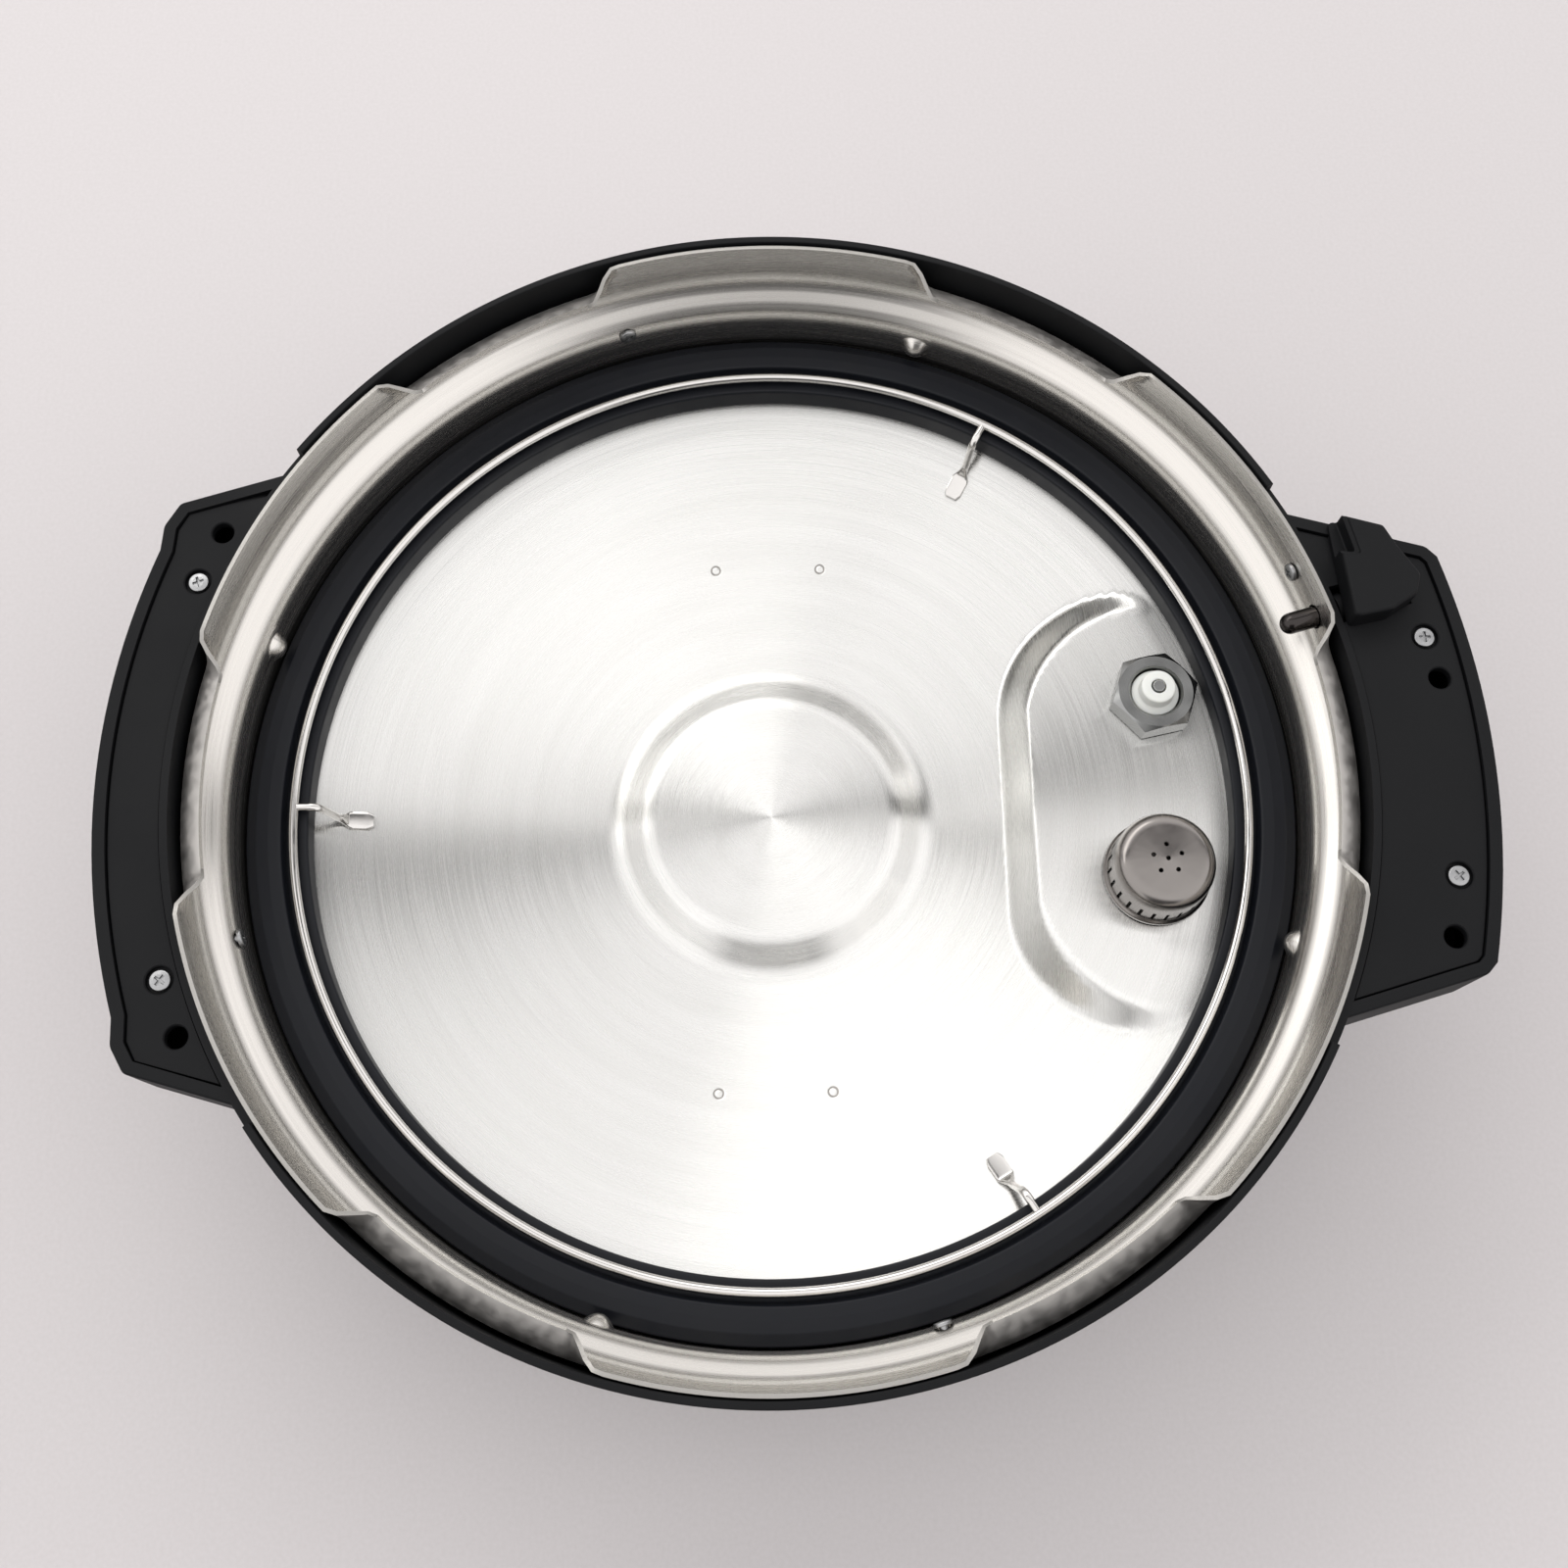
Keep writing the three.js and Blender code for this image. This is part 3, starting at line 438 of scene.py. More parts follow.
def press_marks(lid):
    """Four dents in the skirt that keep the gasket down, and a small sunk ring over each bracket weld."""
    dent_radius, dent_depth, dent_size, dent_press = 134.4, -24.8, 3.8, 2.6
    ring_radius, ring_width, ring_sink = 1.15, 0.3, 0.16
    work = bmesh.new()
    work.from_mesh(lid.data)
    if sum(f.normal.z for f in work.faces if f.calc_center_median().xy.length < 100) < 0:
        bmesh.ops.reverse_faces(work, faces=work.faces)
    for angle in DIMPLE_ANGLES:
        heading = Vector((math.cos(math.radians(angle)), math.sin(math.radians(angle)), 0))
        dent = Vector(place(dent_radius * heading.x, dent_radius * heading.y, dent_depth))
        near = [e for e in work.edges if ((e.verts[0].co + e.verts[1].co) / 2 - dent).length < 5.5]
        bmesh.ops.subdivide_edges(work, edges=near, cuts=4, use_grid_fill=True)
        for vertex in work.verts:
            away = (vertex.co - dent).length / dent_size
            if away < 1:
                vertex.co -= heading * (dent_press * (1 - away * away))
    for x in (-WELD_SPOT[0], WELD_SPOT[0]):
        for y in (-WELD_SPOT[1], WELD_SPOT[1]):
            spot = Vector((x, y))
            near = [e for e in work.edges
                    if ((e.verts[0].co.xy + e.verts[1].co.xy) / 2 - spot).length < 2.4]
            bmesh.ops.subdivide_edges(work, edges=near, cuts=5, use_grid_fill=True)
            for vertex in work.verts:
                away = (vertex.co.xy - spot).length
                if away < 2.2:
                    vertex.co.z -= ring_sink * math.exp(-(((away - ring_radius) / ring_width) ** 2))
    work.to_mesh(lid.data)
    work.free()


def sheet_holes():
    """Cutters for the two valves, the lock pin and the skirt screws."""
    holes = [drum(6.8, -60, -30, FLOAT), drum(4.9, -60, -30, STEAM)]
    holes.append(point_along_radius(drum(3.1, 130, 150), PIN_ANGLE, PIN_DEPTH))
    for angle, depth, face in SKIRT_SCREWS:
        holes.append(point_along_radius(drum(1.6, face - 1, face + 4), angle, depth))
    return holes


# ---------------------------------------------------------------- gasket and rack


def gasket():
    """Silicone ring that sits in the sheet's channel."""
    section = rounded_loop([
        (118.3, -38.2), (121, -38.9), (124.5, -41.6), (131.6, -41.8), (133.4, -39.4), (133.6, -30.2),
        (130.6, -28.5), (127.6, -28.3), (124.4, -28.4), (123.5, -31), (118.2, -31.2)], 1.1, 5)
    ring = turned("gasket", section, 360, loop=True, sharp=60)
    paint(ring, black_silicone())
    finish_piece(ring, "lid", ["sealing_ring"])


def rack():
    """Round wire ring that holds the gasket, on three legs."""
    ring = turned("rack_wire", circle(1.2, (121.4, -29), 16), 360, loop=True, sharp=60)
    paint(ring, polished_stainless())
    finish_piece(ring, "lid", ["rack_ring"])
    for i, angle in enumerate((60.5, 180.5, 300.5)):
        rack_leg(i + 1, angle)


def rack_leg(number, angle):
    """Round wire from the ring, bent down and hammered flat where it is welded to the dish."""
    weld = (104.2, dish_depth(104.2) + 1.0)
    route = rounded([(120.6, -29.1), (115.4, -29.3), (112.6, -38.5), (110.4, -41.2), weld], [3, 4, 3], 6)
    route = spaced(route, 0.7)
    vertices = []
    sides = 16
    for i, (radius, depth) in enumerate(route):
        ahead = Vector(route[min(i + 1, len(route) - 1)]) - Vector(route[max(i - 1, 0)])
        normal = Vector((-ahead.y, ahead.x)).normalized()
        flat = float(ease((112.2 - radius) / 2.4))
        tip = float(ease((105.4 - radius) / 1.2))
        half_width = (1.05 + 1.25 * flat) * (1 - 0.3 * tip)
        half_height = 1.05 - 0.55 * flat
        power = 1 - 0.45 * flat
        for k in range(sides):
            a = 2 * math.pi * k / sides
            c, s = math.cos(a), math.sin(a)
            across = half_width * math.copysign(abs(c) ** power, c)
            up = half_height * math.copysign(abs(s) ** power, s)
            r, z = radius + normal.x * up, depth + normal.y * up
            turn = math.radians(angle)
            x = r * math.cos(turn) - across * math.sin(turn)
            y = r * math.sin(turn) + across * math.cos(turn)
            vertices.append(place(x, y, z))
    rows = len(route)
    faces = grid_faces(rows, sides)
    faces += [tuple(range(sides)), tuple(reversed(range((rows - 1) * sides, rows * sides)))]
    leg = mesh_object(f"rack_wire_leg_{number}", vertices, faces, 50)
    paint(leg, polished_stainless())
    finish_piece(leg, "lid", [f"rack_leg_{number}"])


# ---------------------------------------------------------------- float valve


def hexagon_nut(name, node, centre, across_flats, bore, bottom, top, corner_angle):
    """Hexagon with a turned chamfer over its corners."""
    steps = 240
    face_radius = across_flats / 2 - 0.35
    rows = []
    for i in range(steps):
        a = 360 * i / steps
        off = (a - corner_angle) % 60 - 30
        flat = across_flats / 2 / math.cos(math.radians(off))
        fall = max(0, (flat - face_radius) * math.tan(math.radians(30)))
        rows.append([(bore, bottom), (flat - 0.1, bottom), (flat, bottom + 0.2),
                     (flat, top - fall - 0.1), (flat - 0.15, top - fall + 0.02),
                     (face_radius, top), (bore + 0.5, top), (bore, top - 0.5)])
    vertices = []
    for level in range(len(rows[0])):
        for i in range(steps):
            radius, depth = rows[i][level]
            a = 2 * math.pi * i / steps
            vertices.append(place(centre[0] + radius * math.cos(a), centre[1] + radius * math.sin(a), depth))
    nut = mesh_object(name, vertices, grid_faces(len(rows[0]), steps, closed_rows=True), 25)
    paint(nut, machined_stainless())
    finish_piece(nut, "lid", [node])


def float_valve():
    """The nut that clamps the valve, the seal that rises and the rod that carries it."""
    hexagon_nut("float_hex_nut", "float_nut", FLOAT, 20.2, 6.7, -39.5, -33, 12)
    cap = rounded([(1.9, -36), (6.2, -36), (6.25, -34.3), (5.2, -33.5), (4.65, -33), (4.5, -29.5),
                   (1.9, -29.25), (1.9, -36)], [0.3, 0.5, 0.8, 0.8, 0.7, 0.4], 5)
    seal = turned("float_seal", cap[:-1], 64, loop=True, centre=FLOAT, sharp=60)
    paint(seal, clear_silicone())
    finish_piece(seal, "float", ["float_cap"])
    rod = rounded([(0, -73), (4.2, -73), (4.2, -66.4), (1.65, -65.4), (1.65, -29.05), (0, -29.05)],
                  [1.2, 0.6, 0.5, 0.35], 5)
    pin = turned("float_rod", rod, 48, centre=FLOAT)
    paint(pin, machined_stainless())
    finish_piece(pin, "float", ["float_pin"])


# ---------------------------------------------------------------- steam release


def strainer_cap():
    """Drawn steel cap: slotted skirt, rolled foot and a few round holes in its top."""
    slots, per_slot, slot_width = 24, 12, 3
    steps = slots * per_slot
    outer = rounded([(13.7, -39.2), (13.85, -37.7), (13.0, -36.9), (12.7, -24.9), (0.3, -24.45)],
                    [0.7, 0.7, 4.4], 8)
    outer = spaced(outer, 0.9)
    vertices = []
    for radius, depth in outer:
        for i in range(steps):
            a = 2 * math.pi * i / steps
            vertices.append(place(STEAM[0] + radius * math.cos(a), STEAM[1] + radius * math.sin(a), depth))
    slot_low, slot_high = -36.7, -31
    faces = []
    for face in grid_faces(len(outer), steps):
        row, column = divmod(face[0], steps)
        in_height = slot_low <= outer[row][1] and outer[row + 1][1] <= slot_high
        if not (in_height and column % per_slot < slot_width):
            faces.append(face)
    middle = len(vertices)
    vertices.append(place(STEAM[0], STEAM[1], outer[-1][1]))
    last = (len(outer) - 1) * steps
    faces += [(middle, last + i, last + (i + 1) % steps) for i in range(steps)]
    cap = mesh_object("strainer_cap", vertices, faces, 50)
    wall = cap.modifiers.new("wall", "SOLIDIFY")
    wall.thickness = 0.7
    wall.offset = -1
    settle(cap, 50)
    holes = [drum(0.6, -27, -23, STEAM, 20)]
    for i in range(5):
        a = math.radians(72 * i + 20)
        holes.append(drum(0.6, -27, -23, (STEAM[0] + 3.7 * math.cos(a), STEAM[1] + 3.7 * math.sin(a)), 20))
    combine(cap, holes, "DIFFERENCE", 50)
    paint(cap, satin_stainless())
    finish_piece(cap, "lid", ["anti_block_cap"])


def release_knob():
    """Knob round the weight: a cup with a finger bar across its end."""
    section = rounded([(0.9, -90.3), (9.8, -90.3), (9.8, -68), (11.5, -68), (13.4, -92), (11.6, -94),
                       (0.9, -94)], [0.5, 0.4, 0.6, 1.2, 1.2], 5)
    knob = turned("release_knob_cup", section, 96, loop=True, centre=STEAM)
    bar = rounded_loop([(-17, -4), (19, -2.9), (19, 2.9), (-17, 4)], 1.6, 6)
    bar = moulded("bar", [(x + STEAM[0], y + STEAM[1]) for x, y in bar], -100, -92.4, 1.6, 0.2)
    combine(knob, [bar], "UNION")
    paint(knob, moulded_black())
    finish_piece(knob, "release_knob", ["steam_knob"])


# ---------------------------------------------------------------- plastic cover


def arc_between(start, control, end, steps=24):
    """A bow from start to end, pulled towards control."""
    start, control, end = Vector(start), Vector(control), Vector(end)
    line = []
    for i in range(steps + 1):
        t = i / steps
        line.append(tuple(start * (1 - t) ** 2 + control * 2 * t * (1 - t) + end * t * t))
    return line


def left_wing():
    """Outline of the left wing, bowed at its end; its inner part is cut away by the ring."""
    corners = [(-112, 82.5), (-148, 71.8), (-151.6, 65.6), (-152, 59)]
    upper = rounded(corners, [2.5, 4], 5)
    lower = [(x, -y) for x, y in reversed(upper)]
    return upper[:-1] + arc_between((-152, 59), (-171.6, 0), (-152, -59)) + lower[1:]


def right_wing():
    """Outline of the right wing, which is narrower and reaches further out."""
    corners = [(112, -69.5), (165, -54.4), (167.6, -51.6)]
    lower = rounded(corners, [3.5], 5)
    upper = [(x, -y) for x, y in reversed(lower)]
    return lower[:-1] + arc_between((167.6, -51.6), (181, 0), (167.6, 51.6)) + upper[1:]


def wing_shell(outline):
    """A wing's hollow box, open on top and cut off at the cover's ring."""
    shell = moulded("wing", outline, WING_BOTTOM, WING_TOP, 3.0, 0.6)
    hollow = moulded("cutter", inset(outline, 3.2), WING_BOTTOM + 2.4, 5)
    ring = drum(RING_OUTER, -60, 20, steps=240)
    combine(hollow, [ring], "DIFFERENCE")
    bowl = drum((RING_INNER + RING_OUTER) / 2, -60, 20, steps=240)
    return combine(shell, [hollow, bowl], "DIFFERENCE")


def wedge(middle, half):
    """A cutter that lowers the ring's edge over a stretch of half degrees on each side of middle."""
    reach = 165
    angles = [math.radians(middle + a) for a in np.linspace(-half, half, 9)]
    corners = [(0, 0), *((reach * math.cos(a), reach * math.sin(a)) for a in angles)]
    return moulded("cutter", corners, WING_TOP, 20)


def outer_cover():
    """Ring round the skirt, shallow dome and two wings, in one moulding."""
    wall, dome, rim = 2.4, -66, 0.8
    outside = [(RING_OUTER, rim), (146.3, -27), (144.4, -36.5), (138.6, -46), (125, -55.5), (105, -62.6),
               (93, dome)]
    inside = [(92.4, dome + wall), (104.4, -60.2), (124, -53.3), (136.8, -44.4), (142.1, -35.6),
              (RING_INNER, -27), (RING_INNER, rim)]
    section = rounded([(0.5, dome + wall), *inside, *outside, (0.5, dome)],
                      [8, 10, 14, 8, 8, 10, 0.6, 0.6, 10, 8, 9, 14, 10, 8], 5)
    cover = turned("outer_cover", section, 300, loop=True)
    combine(cover, [wedge(180, 35.5), wedge(0, 29)], "DIFFERENCE")
    combine(cover, [wing_shell(left_wing()), wing_shell(right_wing())], "UNION")
    cuts = [drum(6.5, -80, -50, FLOAT), drum(11.2, -80, -50, STEAM)]
    cuts.append(point_along_radius(drum(3.1, 142, 147.5), PIN_ANGLE, PIN_DEPTH))
    for side in (-1, 1):
        cuts.append(drum(2.1, -80, -50, (0, side * BRACKET_Y), 32))
    combine(cover, cuts, "DIFFERENCE")
    paint(cover, moulded_black())
    finish_piece(cover, "lid", ["top_cover"])


# ---------------------------------------------------------------- wing plates and latch


def wing_plate(name, node, outline, screws, holes, opening=None):
    """Closing plate set into a wing, with sunk screw seats and open bosses."""
    plate = moulded(name, inset(outline, 3.5), PLATE_TOP - 2.4, PLATE_TOP, 0, 0.4)
    cuts = [drum(146.3, -60, 20, steps=240)]
    for spot in screws:
        cuts.append(chamfered_drum(3.3, PLATE_TOP - 1.5, PLATE_TOP, spot))
        cuts.append(drum(1.7, -20, 0, spot, 32))
    for spot in holes:
        cuts.append(chamfered_drum(2.75, -20, PLATE_TOP, spot))
    if opening:
        cuts.append(moulded("cutter", opening, -20, 0))
    combine(plate, cuts, "DIFFERENCE")
    paint(plate, moulded_black())
    finish_piece(plate, "lid", [node])


def wing_plates():
    wing_plate("left_wing_closing_plate", "left_wing_plate", left_wing(), LEFT_SCREWS, LEFT_HOLES)
    opening = along_heading(box_outline(140, 164.4, -5, 5), PIN_ANGLE)
    wing_plate("right_wing_closing_plate", "right_wing_plate", right_wing(), RIGHT_SCREWS, RIGHT_HOLES,
               opening)


def latch_block():
    """Raised block over the lock pin, with a slot on its ring side and a guide for the pin under it."""
    outline = [(140.6, 61.2), (152.8, 57.6), (155.4, 52.4), (160.4, 44.2), (158.8, 38.8), (152.4, 34.8),
               (142.9, 32.9)]
    soft = rounded_loop(outline, 1.6, 5)
    bottom = PLATE_TOP + 0.3
    block = moulded("latch_cover_block", soft, WING_TOP + 0.3, 3.4, 0, 0.9)
    foot = moulded("foot", soft, bottom, WING_TOP + 1)
    rim = moulded("rim", inset(right_wing(), 3.8), bottom - 1, 0)
    combine(foot, [rim], "INTERSECT")
    guide = moulded("guide", along_heading(box_outline(157.8, 164, -4.6, 4.6), PIN_ANGLE), -13, bottom + 1)
    combine(block, [foot, guide], "UNION")
    slot = rounded_loop([(137.6, 63), (142.6, 62), (145.2, 50.4), (140.9, 51)], 0.8, 4)
    slot = moulded("cutter", slot, -1.6, 10, 0.5)
    flare = rounded_loop([(136.6, 64), (143.4, 63.4), (146.4, 49.6), (140.2, 50)], 0.8, 4)
    flare = moulded("cutter", flare, 2.6, 10, 0.8)
    bore = point_along_radius(drum(2.9, 150, 170), PIN_ANGLE, PIN_DEPTH)
    combine(block, [slot, flare, drum(146.7, -60, 20, steps=240), bore], "DIFFERENCE")
    paint(block, moulded_black())
    finish_piece(block, "lid", ["latch_block"])


def lock_pin():
    """Round-nosed pin through the skirt, with the collar that its spring pushes on."""
    thick = 2.7
    nose = [(thick * math.sin(a), PIN_NOSE + thick * (1 - math.cos(a)))
            for a in np.linspace(0.02, math.pi / 2, 12)]
    line = [(0, PIN_NOSE), *nose, (thick, PIN_END - 0.4), (thick - 0.4, PIN_END), (0, PIN_END)]
    pin = point_along_radius(turned("spring_lock_pin", line, 64), PIN_ANGLE, PIN_DEPTH)
    paint(pin, dark_chrome())
    finish_piece(pin, "latch_pin", ["lock_pin"])
    section = rounded_loop([(2.8, 146.9), (4.2, 146.9), (4.2, 149.2), (2.8, 149.2)], 0.3, 3)
    collar = point_along_radius(turned("lock_pin_collar", section, 48, loop=True), PIN_ANGLE, PIN_DEPTH)
    paint(collar, moulded_black())
    finish_piece(collar, "latch_pin", ["pin_collar"])
    pin_spring()


def pin_spring():
    """Round wire spring between the collar and the guide, made at one fixed length; the real spring shortens
    as the pin is pushed out.
    """
    low, high, mean, wire = 149.7, 157.3, 3.5, 0.35
    turns, per_turn, sides = 4.5, 28, 10
    count = int(turns * per_turn)
    vertices = []
    for i in range(count + 1):
        t = i / count
        a = 2 * math.pi * turns * t
        rise = low + wire + (high - low - 2 * wire) * t
        for k in range(sides):
            b = 2 * math.pi * k / sides
            r = mean + wire * math.cos(b)
            vertices.append(place(r * math.cos(a), r * math.sin(a), rise + wire * math.sin(b)))
    faces = grid_faces(count + 1, sides)
    faces += [tuple(range(sides)), tuple(reversed(range(count * sides, (count + 1) * sides)))]
    spring = point_along_radius(mesh_object("lock_pin_spring", vertices, faces, 60), PIN_ANGLE, PIN_DEPTH)
    paint(spring, polished_stainless())
    finish_piece(spring, "lid", ["pin_spring"])
    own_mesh(spring)


# ---------------------------------------------------------------- screws


def screw(name, head, height, shank, length):
    """A cross-head screw with the top of its head at depth 0."""
    line = rounded([(0, -length), (shank, -length + 0.6), (shank, -height), (head, -height), (head, -0.15),
                    (head * 0.55, 0), (0, 0)], [0.2, 0.1, 0.15, 0.5, 0.6], 4)
    piece = turned(name, line, 48)
    reach, width, deep = head * 0.56, head * 0.13, height * 0.7
    cross = [moulded("cutter", box_outline(-reach, reach, -width, width), -deep, 1, width * 0.6),
             moulded("cutter", box_outline(-width, width, -reach, reach), -deep, 1, width * 0.6)]
    cross.append(turned("cutter", [(0, -deep), (width * 1.2, -deep), (width * 2.1, 0.4), (0, 0.4)], 24))
    combine(piece, cross, "DIFFERENCE", 30)
    paint(piece, zinc_plated())
    return piece


def screws():
    """The wing plates' screws, the skirt's with their heads standing proud, and the handle's."""
    proud = 0.8
    for i, (x, y) in enumerate((*LEFT_SCREWS, *RIGHT_SCREWS)):
        piece = screw(f"wing_plate_screw_{i + 1}", 2.55, 1.0, 1.3, 14)
        stand_at(piece, x, y, PLATE_TOP - 0.15, 20 + 35 * i)
        finish_piece(piece, "lid", [f"wing_screw_{i + 1}"])
    for i, (angle, depth, face) in enumerate(SKIRT_SCREWS):
        piece = screw(f"skirt_cover_screw_{i + 1}", 2.3, 1.1, 1.1, 8.5)
        stand_at(piece, 0, 0, 0, 25 * i)
        point_along_radius(piece, angle, depth, inward_from=face - proud)
        finish_piece(piece, "lid", [f"skirt_screw_{i + 1}"])
    for name, side in (("handle_screw_front", -1), ("handle_screw_rear", 1)):
        piece = screw("bracket_" + name, 4, 2, 1.8, 17)
        stand_at(piece, 0, side * BRACKET_Y, HANDLE_FOOT - 8.3, 15, upside_down=True)
        finish_piece(piece, "lid", [name])


# ---------------------------------------------------------------- handle


def handle_side():
    """Side view of the bridge as (y, depth)."""
    half = arc_between((60, HANDLE_FOOT), (60, FINGER_SIDE), (42, FINGER_SIDE), 10)[::-1]
    outer = arc_between((92, HANDLE_FOOT), (88, HANDLE_CROWN + 1), (58, HANDLE_CROWN), 16)
    right = half + outer
    left = [(-y, depth) for y, depth in reversed(right)]
    return left + right


def handle():
    """Bridge grip with its screw wells, and a grooved plate let into its finger side."""
    half_width = 19
    grip = lay_across(moulded("bridge_handle", handle_side(), -half_width, half_width, 5, 5, 50))
    pocket = rounded_loop(box_outline(-13, 13, -41, 41), 4)
    cuts = [moulded("cutter", pocket, FINGER_SIDE - 11, FINGER_SIDE + 2)]
    for side in (-1, 1):
        cuts.append(drum(4.6, -120, HANDLE_FOOT - 6, (0, side * BRACKET_Y)))
        cuts.append(drum(2.1, -120, 0, (0, side * BRACKET_Y), 32))
    combine(grip, cuts, "DIFFERENCE", 50)
    paint(grip, moulded_black())
    finish_piece(grip, "lid", ["handle_grip"])
    top = FINGER_SIDE - 0.3
    plate = rounded_loop(box_outline(-12.7, 12.7, -40.7, 40.7), 3.7)
    liner = moulded("handle_finger_liner", plate, top - 2.4, top, 0, 0.5)
    grooves = []
    for i in range(9):
        y = -32 + 8 * i
        grooves.append(moulded("cutter", box_outline(-9, 9, y - 0.8, y + 0.8), top - 0.6, top + 1, 0.4))
    combine(liner, grooves, "DIFFERENCE")
    paint(liner, moulded_black())
    finish_piece(liner, "lid", ["handle_liner"])


def pressure_weight():
    """Solid weight that sits on the steam pipe, inside the knob."""
    section = rounded_loop([(0.8, -90), (9.5, -90), (9.5, -64), (5.2, -64), (5.2, -74.5), (0.8, -78.6)],
                           0.4, 3)
    weight = turned("regulating_weight", section, 72, loop=True, centre=STEAM)
    paint(weight, machined_stainless())
    finish_piece(weight, "release_knob", ["pressure_weight"])


# ---------------------------------------------------------------- finishing and materials


def paint(obj, *materials):
    obj.data.materials.clear()
    for material in materials:
        obj.data.materials.append(material)


def finish_piece(obj, body, nodes):
    """Keeps flat faces flat beside rounded edges, says what the piece rides on and hides the CAD nodes it
    takes the place of.
    """
    even = obj.modifiers.new("even", "WEIGHTED_NORMAL")
    even.keep_sharp = True
    even.weight = 90
    split = obj.modifiers.new("split", "TRIANGULATE")
    split.min_vertices = 5
    split.keep_custom_normals = True
    graph = bpy.context.evaluated_depsgraph_get()
    mesh = bpy.data.meshes.new_from_object(obj.evaluated_get(graph))
    obj.modifiers.clear()
    obj.data = mesh
    mesh.transform(Matrix.Scale(MM, 4))
    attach(obj, body)
    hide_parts(*nodes)


def linear(code):
    """An sRGB hex colour as linear red, green, blue, alpha."""
    parts = [int(code[i:i + 2], 16) / 255 for i in (1, 3, 5)]
    return [c / 12.92 if c <= 0.04045 else ((c + 0.055) / 1.055) ** 2.4 for c in parts] + [1.0]


def add(tree, kind, sockets=None, **settings):
    """A node with its settings; a socket is given a value, or the output that feeds it."""
    node = tree.nodes.new(kind)
    for name, value in settings.items():
        setattr(node, name, value)
    for name, value in (sockets or {}).items():
        if isinstance(value, bpy.types.NodeSocket):
            tree.links.new(value, node.inputs[name])
        else:
            node.inputs[name].default_value = value
    return node


def new_material(name, sockets):
    """A material with one Principled shader, whose even values are set on its own sockets."""
    material = bpy.data.materials.new(name)
    material.use_nodes = True
    tree = material.node_tree
    shader = tree.nodes["Principled BSDF"]
    for socket, value in sockets.items():
        shader.inputs[socket].default_value = value
    return material, tree, shader


def ramp(tree, value, low, high, low_out, high_out):
    """A value stretched from low..high to low_out..high_out and held there."""
    return add(tree, "ShaderNodeMapRange", {
        "Value": value, "From Min": low, "From Max": high, "To Min": low_out, "To Max": high_out,
    }).outputs["Result"]


def maths(tree, operation, first, second=0.0):
    return add(tree, "ShaderNodeMath", {0: first, 1: second}, operation=operation).outputs["Value"]


def around_axis(tree, line_spacing, line_length):
    """Texture space for marks that run in circles about the lid's axis: fine across, long around.

    line_spacing and line_length are in millimetres, the length at 100 mm from the axis."""
    point = add(tree, "ShaderNodeTexCoord").outputs["Object"]
    axes = add(tree, "ShaderNodeSeparateXYZ", {"Vector": point}).outputs
    flat = add(tree, "ShaderNodeCombineXYZ", {"X": axes["X"], "Y": axes["Y"]}).outputs["Vector"]
    radius = add(tree, "ShaderNodeVectorMath", {0: flat}, operation="LENGTH").outputs["Value"]
    heading = add(tree, "ShaderNodeVectorMath", {0: flat}, operation="NORMALIZE").outputs["Vector"]
    around = add(tree, "ShaderNodeVectorMath", {0: heading, "Scale": 100 / line_length}, operation="SCALE")
    level = maths(tree, "ADD", axes["Z"], radius)
    across = maths(tree, "MULTIPLY", level, 1 / (line_spacing * MM))
    spread = add(tree, "ShaderNodeCombineXYZ", {"Z": across}).outputs["Vector"]
    marks = add(tree, "ShaderNodeVectorMath", {0: around.outputs["Vector"], 1: spread}, operation="ADD")
    return marks.outputs["Vector"]


def weld_rings(tree):
    """0.8 on the thin heat-tinted ring of each bracket weld, 0 elsewhere."""
    point = add(tree, "ShaderNodeTexCoord").outputs["Object"]
    quarter = add(tree, "ShaderNodeVectorMath", {0: point}, operation="ABSOLUTE").outputs["Vector"]
    axes = add(tree, "ShaderNodeSeparateXYZ", {"Vector": quarter}).outputs
    flat = add(tree, "ShaderNodeCombineXYZ", {"X": axes["X"], "Y": axes["Y"]}).outputs["Vector"]
    centre = (WELD_SPOT[0] * MM, WELD_SPOT[1] * MM, 0)
    away = add(tree, "ShaderNodeVectorMath", {0: flat, 1: centre}, operation="DISTANCE").outputs["Value"]
    off = maths(tree, "ABSOLUTE", maths(tree, "SUBTRACT", away, 1.2 * MM))
    return ramp(tree, off, 0.15 * MM, 0.35 * MM, 0.8, 0.0)


